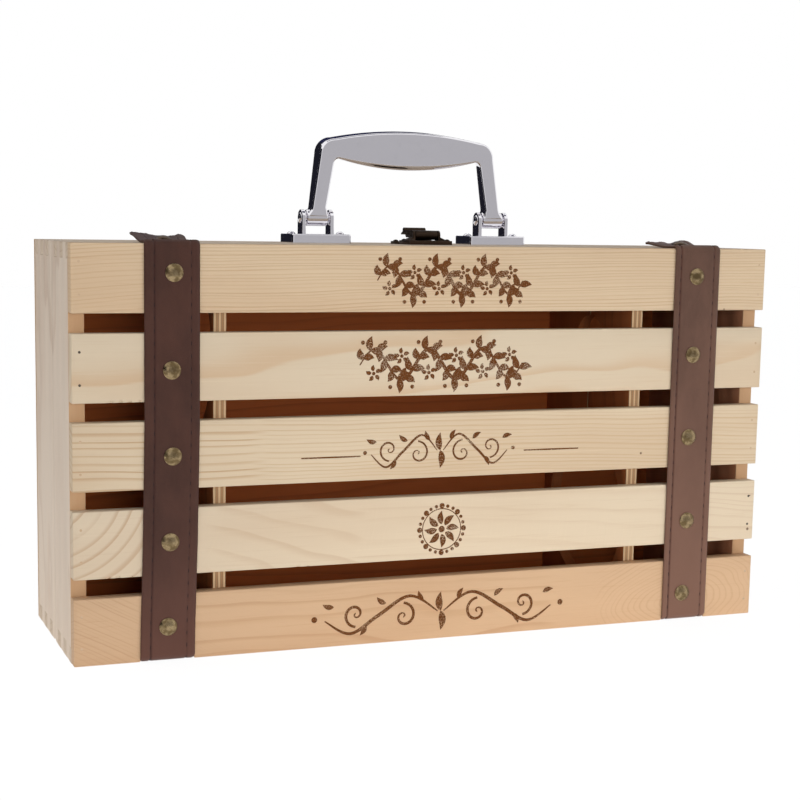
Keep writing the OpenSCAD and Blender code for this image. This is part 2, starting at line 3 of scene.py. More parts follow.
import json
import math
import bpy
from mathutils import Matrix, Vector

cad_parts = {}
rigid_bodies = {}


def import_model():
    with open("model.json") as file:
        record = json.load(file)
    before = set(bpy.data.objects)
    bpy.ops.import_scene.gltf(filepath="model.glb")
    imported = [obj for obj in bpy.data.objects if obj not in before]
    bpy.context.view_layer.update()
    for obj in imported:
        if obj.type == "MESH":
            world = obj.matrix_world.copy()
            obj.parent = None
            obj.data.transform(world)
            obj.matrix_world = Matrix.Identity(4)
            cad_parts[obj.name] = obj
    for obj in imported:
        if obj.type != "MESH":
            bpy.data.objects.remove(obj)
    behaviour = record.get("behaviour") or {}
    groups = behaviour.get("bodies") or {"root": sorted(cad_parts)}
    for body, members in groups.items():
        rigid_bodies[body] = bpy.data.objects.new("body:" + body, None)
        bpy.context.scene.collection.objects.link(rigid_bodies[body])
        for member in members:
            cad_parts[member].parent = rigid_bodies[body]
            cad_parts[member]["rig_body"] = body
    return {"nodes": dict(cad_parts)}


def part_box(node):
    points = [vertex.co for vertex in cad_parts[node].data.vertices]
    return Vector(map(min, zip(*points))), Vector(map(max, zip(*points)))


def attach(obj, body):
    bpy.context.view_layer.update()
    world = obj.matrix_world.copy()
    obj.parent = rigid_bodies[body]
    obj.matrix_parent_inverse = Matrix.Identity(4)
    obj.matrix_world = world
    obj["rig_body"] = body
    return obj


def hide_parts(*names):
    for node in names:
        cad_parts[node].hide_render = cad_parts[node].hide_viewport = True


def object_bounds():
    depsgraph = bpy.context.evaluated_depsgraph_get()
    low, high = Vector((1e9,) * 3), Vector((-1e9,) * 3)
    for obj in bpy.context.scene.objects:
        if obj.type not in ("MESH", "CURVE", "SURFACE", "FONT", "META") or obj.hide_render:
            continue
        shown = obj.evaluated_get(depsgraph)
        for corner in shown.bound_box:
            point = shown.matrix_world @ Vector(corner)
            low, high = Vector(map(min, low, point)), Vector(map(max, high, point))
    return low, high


bl_info = {
    "name": "Wooden Wine Box",
    "version": (1, 0, 0),
    "blender": (4, 5, 0),
    "location": "3D View > Sidebar > Wine Box",
    "description": "Dresses the frame of a slatted box for two bottles",
    "category": "Object",
}

from contextlib import contextmanager
from types import SimpleNamespace
from typing import NamedTuple

import bmesh
import bpy
from mathutils import Matrix, Vector

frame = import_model()
CAD_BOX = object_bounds()
MM = 0.001
QUARTER = math.radians(90)
TURN_SIGN = -1  # without a window, the rotate operator turns the other way
SIDES = (("left", -1), ("right", 1))
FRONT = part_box("slat_1")[0].y
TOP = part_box("case_top")[1].z
# In millimetres: half the box's length, where the lid's sawn front edges end, the middle of
# its height, and half the length and height of its inside.
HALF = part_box("case_top")[1].x / MM
FRONT_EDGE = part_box("lid_end_left")[0].y / MM + 0.25
MIDDLE = (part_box("case_bottom")[0].z + TOP) / 2 / MM
INSIDE_X = abs(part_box("case_end_left")[1].x) / MM + 0.3
INSIDE_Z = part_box("case_top")[0].z / MM - MIDDLE + 0.3

# ---------------------------------------------------------------- settings


def srgb(red, green, blue):
    """The linear colour of a swatch read as 0 to 255."""
    def lift(value):
        value /= 255
        return value / 12.92 if value <= 0.04045 else ((value + 0.055) / 1.055) ** 2.4

    return (lift(red), lift(green), lift(blue), 1.0)


def toned(tone, factor, more=0.0):
    """A colour that is lighter or darker by a factor."""
    return [min(1.0, value * factor + more) for value in tone[:3]] + [1.0]


def number(name, description, default, **more):
    """A number that a user may change."""
    return bpy.props.FloatProperty(name=name, description=description, default=default, **more)


def length(name, description, millimetres):
    """A length that a user may change."""
    return number(name, description, millimetres * MM, min=0, max=1, unit="LENGTH",
                  subtype="DISTANCE", precision=5)


def colour(name, description, default):
    """A colour that a user may change."""
    return bpy.props.FloatVectorProperty(
        name=name, description=description, default=default, size=4, min=0, max=1,
        subtype="COLOR")


class BoxWoodSettings(bpy.types.PropertyGroup):
    board_edge: length("Board Edge", "How far the edges of the frame's boards are eased", 0.25)
    slat_edge: length("Slat Edge", "How far the edges of the slats are eased", 0.5)
    frame_pale: colour("Frame Pale Wood", "Early wood of the frame's boards", srgb(222, 203, 180))
    frame_dark: colour("Frame Dark Wood", "Late wood of the frame's boards", srgb(190, 160, 128))
    end_pale: colour("End Pale Wood", "Early wood of the end boards", srgb(221, 203, 183))
    end_dark: colour("End Dark Wood", "Late wood of the end boards", srgb(194, 168, 146))
    # The plywood's colours are darkened in part as painted shade of the recessed divider edges.
    ply_pale: colour("Ply Face", "Face veneer of the plywood", srgb(214, 182, 142))
    ply_dark: colour("Ply Core", "Cross plies of the plywood", srgb(152, 106, 68))
    # The inside colours are a guessed stain, deepened and warmed as painted shade and bounce light.
    inside: colour("Inside", "Red-brown wood inside the box", srgb(172, 102, 59))
    panel: colour("Back Panel", "Red-brown veneer inside the back panel", srgb(190, 103, 52))
    burn: colour("Burned Brown", "Colour of the burned ornaments", srgb(92, 54, 26))


class BoxLeatherSettings(bpy.types.PropertyGroup):
    left_tone: colour("Left Strap", "Colour of the left strap", srgb(75, 44, 33))
    right_tone: colour("Right Strap", "Colour of the right strap", srgb(104, 73, 58))
    thread: colour("Thread", "Colour of the stitching", srgb(40, 17, 13))
    stitch_pitch: length("Stitch Pitch", "Distance from stitch to stitch", 5.7)


class BoxMetalSettings(bpy.types.PropertyGroup):
    chrome: colour("Chrome", "Colour of the handle and its brackets", (0.86, 0.845, 0.88, 1))
    bronze: colour("Bronze", "Dark bronze of the latch", srgb(50, 39, 31))
    tack_brass: colour("Tack Brass", "Bright metal of the tacks", srgb(160, 140, 106))
    tack_patina: colour("Tack Patina", "Dark patina of the tacks", srgb(112, 94, 65))
    hinge_brass: colour("Hinge Brass", "Brass of the hinges", srgb(196, 158, 88))
    steel: colour("Brad Steel", "Dulled steel of the brads", srgb(92, 78, 66))
    rim: length("Handle Rim", "Rounding of the handle's edges", 1.2)


class BoxStageSettings(bpy.types.PropertyGroup):
    camera_place: bpy.props.FloatVectorProperty(
        name="Camera Place", description="Where the camera stands", size=3,
        default=(-0.2979, -0.7472, 0.1979), subtype="TRANSLATION", unit="LENGTH")
    camera_turn: bpy.props.FloatVectorProperty(
        name="Camera Turn", description="How the camera is turned", size=3,
        default=(1.436565, -0.015325, -0.355549), subtype="EULER", unit="ROTATION")
    lens: number("Camera Lens", "Focal length of the camera", 72.6, subtype="DISTANCE_CAMERA")
    floor: colour("Floor", "Colour of the floor", (0.9, 0.9, 0.9, 1))
    sky: number("Sky Strength", "Strength of the light from all round", 0.45)
    pool: number("Floor Glow", "Light that the floor gives back near the box", 0.35)
    left_power: number("Left Light", "Power of the soft lamp on the left", 3.3, unit="POWER")
    side_power: number("Side Light", "Power of the lamp low on the right", 1.3, unit="POWER")
    fill_power: number("Fill Light", "Power of the lamp beside the camera", 8.5, unit="POWER")


def settings(name):
    return getattr(bpy.context.scene, name)


# ---------------------------------------------------------------- meshes

MERGE = 0.002 * MM
FLAT, HARD, HARDEST = math.radians(1.5), math.radians(30), math.radians(50)

def pick(*pieces):
    """Selects only these pieces, the first of them active."""
    if bpy.context.object and bpy.context.object.mode != "OBJECT":
        bpy.ops.object.mode_set(mode="OBJECT")
    bpy.ops.object.select_all(action="DESELECT")
    for piece in pieces:
        piece.select_set(True)
    bpy.context.view_layer.objects.active = pieces[0] if pieces else None


@contextmanager
def shaping(piece):
    """Edit mode on a piece; hands out its edit mesh, with everything selected."""
    pick(piece)
    bpy.ops.object.mode_set(mode="EDIT")
    bpy.ops.mesh.select_mode(type="VERT")
    bpy.ops.mesh.select_all(action="SELECT")
    yield bmesh.from_edit_mesh(piece.data)
    bpy.ops.object.mode_set(mode="OBJECT")


def choose(mesh, test, kind="verts"):
    """Selects the points or edges of an edit mesh that pass the test."""
    bpy.ops.mesh.select_all(action="DESELECT")
    bpy.ops.mesh.select_mode(type={"verts": "VERT", "edges": "EDGE"}[kind])
    found = [item for item in getattr(mesh, kind) if test(item)]
    for item in found:
        item.select_set(True)
    mesh.select_flush_mode()
    bmesh.update_edit_mesh(bpy.context.edit_object.data)
    if not found:
        raise RuntimeError(f"nothing to choose on {bpy.context.edit_object.name}")


def shift(y=0.0, z=0.0, reach=0.0):
    """Moves what is chosen, and what lies within reach of it a little less."""
    bpy.ops.transform.translate(
        value=(0, y, z), use_proportional_edit=reach > 0,
        proportional_edit_falloff="SMOOTH", proportional_size=max(reach, MM))


def outward(piece):
    """Turns all faces of a piece outward."""
    with shaping(piece):
        bpy.ops.mesh.normals_make_consistent(inside=False)


def fresh(name, size=(1, 1, 1)):
    """The primitive that was just added, sized and named, with its place in its mesh."""
    piece = bpy.context.object
    piece.name = piece.data.name = name
    piece.scale = size
    bpy.ops.object.transform_apply(location=True, rotation=True, scale=True)
    return piece


def block(name, low, high):
    """A box between two corners, in millimetres."""
    pick()
    low, high = Vector(low) * MM, Vector(high) * MM
    bpy.ops.mesh.primitive_cube_add(size=1, location=(low + high) / 2)
    return fresh(name, high - low)


def rod(name, x, z, radius, depth, sides=32, lying=True):
    """A round bar about a place, in millimetres; a lying one runs along x."""
    pick()
    bpy.ops.mesh.primitive_cylinder_add(
        vertices=sides, radius=radius * MM, depth=depth * MM, location=(x * MM, 0, z * MM),
        rotation=(0, QUARTER * lying, 0))
    return fresh(name)


def new_piece(name, data):
    made = bpy.data.objects.new(name, data)
    bpy.context.collection.objects.link(made)
    return made


def twin(piece, move):
    """A copy of a piece with its own mesh, moved by a matrix in that mesh."""
    made = new_piece(piece.name, piece.data.copy())
    made.data.transform(move)
    return made


def moved(x, y=0.0, z=0.0):
    """The matrix of a move in millimetres."""
    return Matrix.Translation((x * MM, y * MM, z * MM))


def spun(degrees, axis):
    """The matrix of a turn."""
    return Matrix.Rotation(math.radians(degrees), 4, axis)


def from_curve(name, strokes, closed=False, **values):
    """Lines of points (x, z, radius), in millimetres, as a mesh that lies flat."""
    curve = bpy.data.curves.new(name, "CURVE")
    for key, value in values.items():
        setattr(curve, key, value)
    for stroke in strokes:
        line = curve.splines.new("POLY")
        line.points.add(len(stroke) - 1)
        for point, (x, z, width) in zip(line.points, stroke):
            point.co, point.radius = (x * MM, z * MM, 0, 1), width
        line.use_cyclic_u = closed
    pick(new_piece(name, curve))
    bpy.ops.object.convert(target="MESH")
    return bpy.context.object


def use(piece, kind, **values):
    """Adds a modifier to a piece and applies it."""
    pick(piece)
    modifier = piece.modifiers.new(kind.title(), kind)
    for key, value in values.items():
        setattr(modifier, key, value)
    bpy.ops.object.modifier_apply(modifier=modifier.name)


def carve(piece, cutter):
    """Takes a cutter out of a piece."""
    use(piece, "BOOLEAN", operation="DIFFERENCE", object=cutter, solver="EXACT", use_self=True)
    bpy.data.objects.remove(cutter)


def smooth(piece, sharp=35):
    pick(piece)
    bpy.ops.object.shade_smooth_by_angle(angle=math.radians(sharp))


def ease(piece, width, segments=2):
    """Eases the hard edges of a piece by a width in millimetres."""
    use(piece, "BEVEL", width=width * MM, segments=segments, limit_method="ANGLE",
        angle_limit=HARDEST, harden_normals=False)
    smooth(piece)


def join(name, *pieces):
    """Makes several pieces one mesh."""
    pick(*pieces)
    bpy.ops.object.join()
    piece = bpy.context.object
    piece.name = piece.data.name = name
    return piece


def from_node(node, edge, segments=2, shortest=0.0):
    """A copy of a CAD node, merged, with its edges eased where they are long enough."""
    piece = new_piece(node + "_dressed", frame["nodes"][node].data.copy())
    with shaping(piece) as mesh:
        bpy.ops.mesh.customdata_custom_splitnormals_clear()
        bpy.ops.mesh.remove_doubles(threshold=MERGE)
        bpy.ops.mesh.dissolve_limited(angle_limit=FLAT)
        choose(mesh, lambda e: e.calc_length() > shortest
               and e.calc_face_angle(0) > HARD, "edges")
        bpy.ops.mesh.bevel(offset=edge, segments=segments, affect="EDGES", clamp_overlap=True)
    smooth(piece)
    return piece


def settle(piece, look, slot, *nodes, body=None):
    """Gives a finished piece its material and its body, and hides the nodes it stands for."""
    piece.data.materials.clear()
    piece.data.materials.append(look)
    for face in piece.data.polygons:
        face.material_index = 0
    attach(piece, body or frame["nodes"][nodes[0]]["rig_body"])
    if nodes:
        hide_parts(*nodes)


# ---------------------------------------------------------------- node trees


class Canvas:
    """The node tree that new nodes go into."""
    tree = None


def put(socket, value):
    """Fills an input with a value or with another node's output."""
    if isinstance(value, bpy.types.NodeSocket):
        Canvas.tree.links.new(value, socket)
    else:
        socket.default_value = value


def add(kind, inputs=None, **values):
    """A node with its settings and inputs."""
    made = Canvas.tree.nodes.new("ShaderNode" + kind)
    for key, value in values.items():
        setattr(made, key, value)
    for key, value in (inputs or {}).items():
        put(made.inputs[key], value)
    return made


def calc(operation, first, second=0.0, clamp=False):
    return add("Math", {0: first, 1: second}, operation=operation, use_clamp=clamp).outputs[0]


def plus(first, second):
    return calc("ADD", first, second)


def minus(first, second):
    return calc("SUBTRACT", first, second)


def times(first, *others):
    for other in others:
        first = calc("MULTIPLY", first, other)
    return first


def off(first, second):
    """How far two numbers are apart."""
    return calc("ABSOLUTE", minus(first, second))


def vector(operation, first, second=(0, 0, 0), third=(0, 0, 0), output="Vector"):
    return add("VectorMath", {0: first, 1: second, 2: third}, operation=operation).outputs[output]


def scaled(first, factor):
    return add("VectorMath", {0: first, "Scale": factor}, operation="SCALE").outputs[0]


def step(value, low, high, start=0.0, end=1.0):
    """A soft step from start to end as the value goes from low to high."""
    return add("MapRange", {
        "Value": value, "From Min": low, "From Max": high, "To Min": start, "To Max": end},
        interpolation_type="SMOOTHSTEP").outputs[0]


def blend(factor, first, second, mode="MIX"):
    made = add("Mix", {0: factor, 6: first, 7: second}, data_type="RGBA", blend_type=mode)
    return made.outputs[2]


def covered(tone, *covers):
    """A colour under several others, each given with its mask."""
    for mask, cover in covers:
        tone = blend(mask, tone, cover)
    return tone


def clouds(place, stretch, detail=2.0, rough=0.5):
    """Noise from 0 to 1 at a stretched place."""
    return add("TexNoise", {"Vector": vector("MULTIPLY", place, stretch), "Scale": 1.0,
                            "Detail": detail, "Roughness": rough}).outputs[0]


def here():
    """The object's own coordinates, in millimetres."""
    return scaled(add("TexCoord").outputs["Object"], 1 / MM)


def axes(place=None):
    """The three numbers of a place, or of here."""
    return add("SeparateXYZ", {0: here() if place is None else place}).outputs


def group(name, inputs, *outputs):
    """Starts a node group; hands out what it takes, and how it gives its outputs."""
    tree = Canvas.tree = bpy.data.node_groups.new(name, "ShaderNodeTree")
    for key, value in inputs.items():
        kind = "NodeSocketVector" if isinstance(value, tuple) else "NodeSocketFloat"
        made = tree.interface.new_socket(name=key, in_out="INPUT", socket_type=kind)
        made.default_value = value
    for key in outputs:
        tree.interface.new_socket(name=key, in_out="OUTPUT", socket_type="NodeSocketFloat")
    start, end = tree.nodes.new("NodeGroupInput"), tree.nodes.new("NodeGroupOutput")

    def give(*values):
        for key, value in zip(outputs, values):
            put(end.inputs[key], value)

    return start.outputs, give


def placed(name, **values):
    """A node group with its own values; underscores stand for spaces."""
    made = add("Group")
    made.node_tree = bpy.data.node_groups[name]
    for key, value in values.items():
        put(made.inputs[key.replace("_", " ")], value)
    return made.outputs


def pine_rings():
    """Growth rings about a tree's axis, with the fibre and clouds of sawn pine."""
    take, give = group(
        "Pine Rings",
        {"Vector": (0, 0, 0), "Axis": (0, 0, 0), "Slope": (0, 0, 0), "Spacing": 3.0,
         "Wave": 2.0, "Seed": 0.0},
        "Late", "Fibre", "Blotch", "Height")
    place = take["Vector"]
    seed = vector("MULTIPLY_ADD", take["Seed"], (137, 61, 29), place)
    drift = add("TexNoise", {"Vector": vector("MULTIPLY", seed, (0.009, 0.03, 0.03)),
                             "Scale": 1.0, "Detail": 2.0}).outputs["Color"]
    drift = scaled(vector("SUBTRACT", drift, (0.5, 0.5, 0.5)), take["Wave"])
    axis = vector("ADD", take["Axis"], scaled(take["Slope"], axes(place)[0]))
    arm = vector("ADD", vector("SUBTRACT", place, axis), drift)
    radius = vector("LENGTH", vector("MULTIPLY", arm, (0, 1, 1)), output="Value")
    turns = calc("DIVIDE", radius, take["Spacing"])
    uneven = add("TexNoise", {"W": plus(turns, take["Seed"]), "Scale": 0.31, "Detail": 1.0},
                 noise_dimensions="1D").outputs[0]
    phase = plus(turns, times(uneven, 1.6))
    part = calc("FRACT", phase)
    strength = add("TexWhiteNoise", {"W": calc("FLOOR", phase)},
                   noise_dimensions="1D").outputs["Value"]
    # late wood builds up slowly in a ring, ends at once, and is stronger in some rings
    late = times(step(part, 0.58, 0.92), step(part, 0.93, 1.0, 1, 0), step(strength, -0.6, 1.0))
    fibre = clouds(seed, (0.028, 1.5, 1.5), 5.0, 0.68)
    give(late, fibre, clouds(seed, (0.006, 0.022, 0.022)), plus(times(late, 0.6), fibre))


def leather_grain():
    """The small cells and soft creases of finished leather."""
    take, give = group("Leather Grain", {"Vector": (0, 0, 0), "Cell": 0.8}, "Height", "Cloud")
    place = take["Vector"]
    cells = add("TexVoronoi", {"Vector": vector("DIVIDE", place, take["Cell"]), "Scale": 1.0},
                feature="DISTANCE_TO_EDGE").outputs["Distance"]
    give(plus(step(cells, 0.0, 0.25, 0, 0.5), clouds(place, (0.5, 0.5, 0.2), 4.0, 0.6)),
         clouds(place, (0.06, 0.06, 0.03), 3.0, 0.6))


def metal_wear():
    """Rubbed edges, smudges and fine long scratches of handled metal."""
    take, give = group(
        "Metal Wear", {"Vector": (0, 0, 0), "Scratch Pitch": 0.5, "Smudge Pitch": 8.0},
        "Edge", "Smudge", "Scratch")
    broad, fine = (vector("DIVIDE", take["Vector"], take[key + " Pitch"])
                   for key in ("Smudge", "Scratch"))
    give(step(add("NewGeometry").outputs["Pointiness"], 0.5, 0.6),
         clouds(broad, (1, 1, 1), 4.0, 0.6), clouds(fine, (1 / 14, 1, 1), 3.0, 0.7))


def ply_layers():
    """The crossed plies of a plywood edge, with their thin glue lines."""
    take, give = group("Ply Layers", {"Depth": 0.0, "Ply": 1.2}, "Cross", "Glue")
    layer = calc("DIVIDE", take["Depth"], take["Ply"])
    give(calc("FLOORED_MODULO", calc("FLOOR", layer), 2.0),
         step(calc("PINGPONG", layer, 0.5), 0.03, 0.1, 1, 0))


# ---------------------------------------------------------------- finishes

# The third colour, of the sawn front edges, is darkened as painted shade of their recess.
KNOT, END_GRAIN, SHADED_FRONT_EDGE = srgb(96, 62, 36), srgb(134, 108, 84), srgb(192, 150, 108)
PUTTY = srgb(208, 180, 150), srgb(194, 162, 130)
# The second colour is a painted shade, dark brown, for the tack that sits up on the flap.
RUST, SHADE_BROWN, PLAIN_STEEL = srgb(58, 44, 36), srgb(70, 52, 42), (0.5, 0.49, 0.47, 1)
# The grey that the slats' painted shade towards the left multiplies in.
COOL_SHADE = (0.85, 0.85, 0.86, 1)
# In millimetres: over what one face's colour gives way to the next, over what a run of rings
# fades in or out, and between what places a painted shade darkens a slat towards the left.
SEAM, FADE, LEFT_SHADE_REACH = 0.3, 7, (-190, 30)

def finish(name, **shader):
    """Starts a material with constants on its shader; hands out the shader too."""
    made = bpy.data.materials.new(name)
    made.use_nodes = True
    Canvas.tree = made.node_tree
    body = made.node_tree.nodes["Principled BSDF"]
    for key, value in shader.items():
        body.inputs[key.replace("_", " ")].default_value = value
    return made, body


def dress(body, tone, rough, height, depth):
    """Gives a shader its colour, its roughness and a relief this many millimetres deep."""
    put(body.inputs["Base Color"], tone)
    put(body.inputs["Roughness"], rough)
    bump = add("Bump", {"Height": height, "Distance": depth * MM, "Strength": 1.0})
    put(body.inputs["Normal"], bump.outputs[0])


def within(reach_x, reach_z):
    """One where the box is nearer to its middle than these reaches, and nothing beyond."""
    across, _, up = axes()
    return times(*(step(off(place, middle), reach, reach + 0.15, 1.0, 0.0)
                   for place, middle, reach in ((across, 0, reach_x), (up, MIDDLE, reach_z))))


def grain_place(turned):
    """Millimetres with the grain along x; a piece is turned this way to get it there."""
    return add("Mapping", {"Vector": here(), "Rotation": turned}).outputs[0]


class Rings(NamedTuple):
    """A run of growth rings.

    Axis is where the tree's middle lies at x = 0, slope how it drifts along the grain, spacing
    the pitch of the rings, wave how far they stray, and window the stretch along the grain that
    they fill.
    """
    axis: tuple
    spacing: float
    slope: tuple
    wave: float
    seed: float
    strength: float
    window: tuple = None


def sawn_pine(name, pale, dark, figures, line=None, turned=(0, 0, 0), front_edge=False,
              specks=(), end_grain=0.0, inside=False, left_shade=0.0):
    """Planed pine.

    Line is the colour of the thin streaks, front_edge darkens the sawn front edges with a colour
    that is partly painted shade, specks are (x, z, radius) of tiny knots, end_grain darkens the
    sawn ends, inside makes the faces towards the bottles red-brown, a guessed stain deepened as
    painted shade and bounced light, and the last darkens the wood slowly towards its left end as
    painted shade.
    """
    made, body = finish(name, Specular_IOR_Level=0.3)
    place = grain_place(turned)
    along, deep = axes(place)[0], axes()[1]
    late, first = 0.0, None
    for run in figures:
        rings = placed("Pine Rings", Vector=place, Axis=run.axis, Slope=run.slope,
                       Spacing=run.spacing, Wave=run.wave, Seed=run.seed)
        share = times(rings["Late"], run.strength)
        if run.window:
            low, high = run.window
            share = times(share, step(along, low - FADE, low + FADE),
                          step(along, high - FADE, high + FADE, 1, 0))
        late = calc("MAXIMUM", late, share)
        first = first or rings
    tone = covered(
        pale, (late, dark), (step(first["Blotch"], 0.38, 0.72, 0.0, 0.35), dark),
        (step(first["Fibre"], 0.55, 0.8, 0.0, 0.5), line or dark),
        (step(first["Fibre"], 0.45, 0.25, 0.0, 0.35), toned(pale, 1.1)))
    # painted shade: the slat gets slowly darker towards its left end
    if left_shade:
        tone = blend(step(along, *LEFT_SHADE_REACH, 0.9 * left_shade, 0.0), tone, COOL_SHADE, "MULTIPLY")
    # the lid's sawn front edges, recessed behind the slats, take a colour partly painted shade
    if front_edge:
        tone = blend(step(deep, FRONT_EDGE, FRONT_EDGE + SEAM, 0.9, 0.0), tone, SHADED_FRONT_EDGE)
    if end_grain:
        sawn = step(calc("ABSOLUTE", along), HALF - 0.4, HALF - 0.2, 0, end_grain)
        tone = blend(sawn, tone, END_GRAIN)
    # a guessed stain inside, deepened and warmed as painted shade and bounce light
    if inside:
        inner = times(within(INSIDE_X, INSIDE_Z),
                      step(deep, FRONT_EDGE, FRONT_EDGE + SEAM, 0.0, 0.85))
        tone = blend(inner, tone, settings("box_wood").inside)
    for x, z, radius in specks:
        far = vector("DISTANCE", vector("MULTIPLY", here(), (1, 0, 1)), (x, 0, z),
                     output="Value")
        tone = blend(step(far, radius * 0.4, radius, 0.85, 0.0), tone, KNOT)
    dress(body, tone, step(late, 0, 1, 0.66, 0.52), plus(first["Height"], late), 0.05)
    return made


def plywood(name, depth, first, ply, turned, face, front=None):
    """Plywood whose plies lie across the axis of this number from the place first.

    The plies of a divider show before the place front. The back panel has none: its plies show
    all round, and it has the colour of its face only towards the bottles.
    """
    wood = settings("box_wood")
    made, body = finish(name, Specular_IOR_Level=0.25)
    rings = placed("Pine Rings", Vector=grain_place(turned), Axis=(0, 30, 40),
                   Slope=(0, 0.05, 0.02), Spacing=5.0, Wave=9.0, Seed=first)
    places = axes()
    plies = placed("Ply Layers", Depth=minus(places[depth], first), Ply=ply)
    edge = covered(wood.ply_pale, (times(plies["Cross"], 0.7), wood.ply_dark),
                   (times(plies["Glue"], 0.7), toned(wood.ply_dark, 0.42)))
    deep = toned(face, 0.62)
    late = times(rings["Late"], 0.5)
    tone = blend(late, face, deep)
    if front is None:
        # towards the bottles the face colour is a guessed stain, partly painted shade and bounce
        # light
        inner = times(within(INSIDE_X, INSIDE_Z),
                      step(places[1], first + ply, first + 2 * ply, 1.0, 0.0))
        tone = blend(inner, blend(late, wood.ply_pale, wood.ply_dark), tone)
        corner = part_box("back_panel")[1] / MM
        seen = minus(1.0, within(corner.x - 0.5, corner.z - MIDDLE - 0.5))
    else:
        seen = step(places[1], front, front + SEAM, 1.0, 0.0)
    tone = covered(tone, (seen, edge), (step(rings["Fibre"], 0.5, 0.8, 0.0, 0.35), deep))
    dress(body, tone, step(rings["Fibre"], 0.3, 0.7, 0.58, 0.72),
          minus(rings["Height"], plies["Glue"]), 0.06)
    return made


def leather(name, tone, width, creases, pale_below):
    """Smooth finished leather, darkened in its creases as painted shade, and dark along its edges.

    The last is the height in millimetres below which it slowly gets paler.
    """
    made, body = finish(name, Specular_IOR_Level=0.3)
    grain = placed("Leather Grain", Vector=here(), Cell=0.6)
    deep = toned(tone, 0.72)
    across = times(axes(add("UVMap").outputs[0])[0], width)
    # the dark of the creases, a painted shade
    dark = [tone[0] * 0.5, tone[1] * 0.32, tone[2] * 0.3, 1.0]
    coat = covered(
        deep, (step(grain["Cloud"], 0.35, 0.7), tone),
        (step(grain["Height"], 0.8, 1.15, 0, 0.3), toned(tone, 1.25, 0.004)),
        # slowly paler towards the bottom, below the height given last
        (step(axes()[2], -pale_below * 0.2, pale_below, 1, 0), toned(tone, 1.55, 0.006)),
        # the creases are darkened as painted shade of their grooves
        *((step(off(across, crease), 0.3, 1.05, share, 0.0), dark)
          for crease, share in creases.items()),
        (step(off(across, width / 2), width / 2 - 0.7, width / 2, 0, 0.5), deep))
    dress(body, coat, step(grain["Cloud"], 0.3, 0.7, 0.5, 0.4),
          plus(grain["Height"], times(grain["Cloud"], 2.0)), 0.05)
    return made


def metal(name, bright, dull, rough, pitch=0.5, patina=(0.45, 0.62), worn=0.4, bump=0.004,
          smudge=8.0, shade_above=None):
    """Metal between a bright and a dull colour, with a roughness for each.

    Patina is the range of the smudges over which it gets dull, worn how bright it is where its
    edges are worn, and the last a height in millimetres above which it is darkened by a painted
    shade.
    """
    made, body = finish(name, Metallic=1.0)
    wear = placed("Metal Wear", Vector=here(), Scratch_Pitch=pitch, Smudge_Pitch=smudge)
    cover = calc("SUBTRACT", step(wear["Smudge"], *patina), times(wear["Edge"], worn), True)
    tone = blend(cover, bright, dull)
    # a painted shade above that height
    if shade_above:
        tone = blend(step(axes()[2], shade_above, shade_above + 0.5, 0, 0.85), tone, SHADE_BROWN)
    dress(body, tone, plus(step(cover, 0, 1, *rough), step(wear["Scratch"], 0.3, 0.7, -0.02, 0.03)),
          wear["Scratch"], bump)
    return made


def chrome():
    """The plating that the handle and its brackets share."""
    tone = settings("box_metal").chrome
    return bpy.data.materials.get("chrome_plate") or metal(
        "chrome_plate", tone, toned(tone, 0.97), (0.07, 0.1), pitch=0.25, patina=(0.5, 0.75),
        worn=0.3, bump=0.0008)


def burned():
    """Wood scorched brown in specks, so that the pale grain shows between them."""
    burn = settings("box_wood").burn
    made, body = finish("burned_ornament", Specular_IOR_Level=0.15)
    speck = clouds(here(), (2.2, 2.2, 2.2), 3.0, 0.7)
    patch = clouds(here(), (0.12, 0.12, 0.12))
    put(body.inputs["Alpha"], step(plus(speck, times(patch, 0.35)), 0.74, 0.8, 1.0, 0.0))
    dress(body, blend(step(speck, 0.4, 0.65), burn, toned(burn, 2.1)), 0.8, speck, 0.05)
    return made


# ---------------------------------------------------------------- wood

BOARD_EDGE_LEAST = 2.5 * MM  # shorter edges of the wood stay as they are
UPRIGHT = (0, QUARTER, 0)
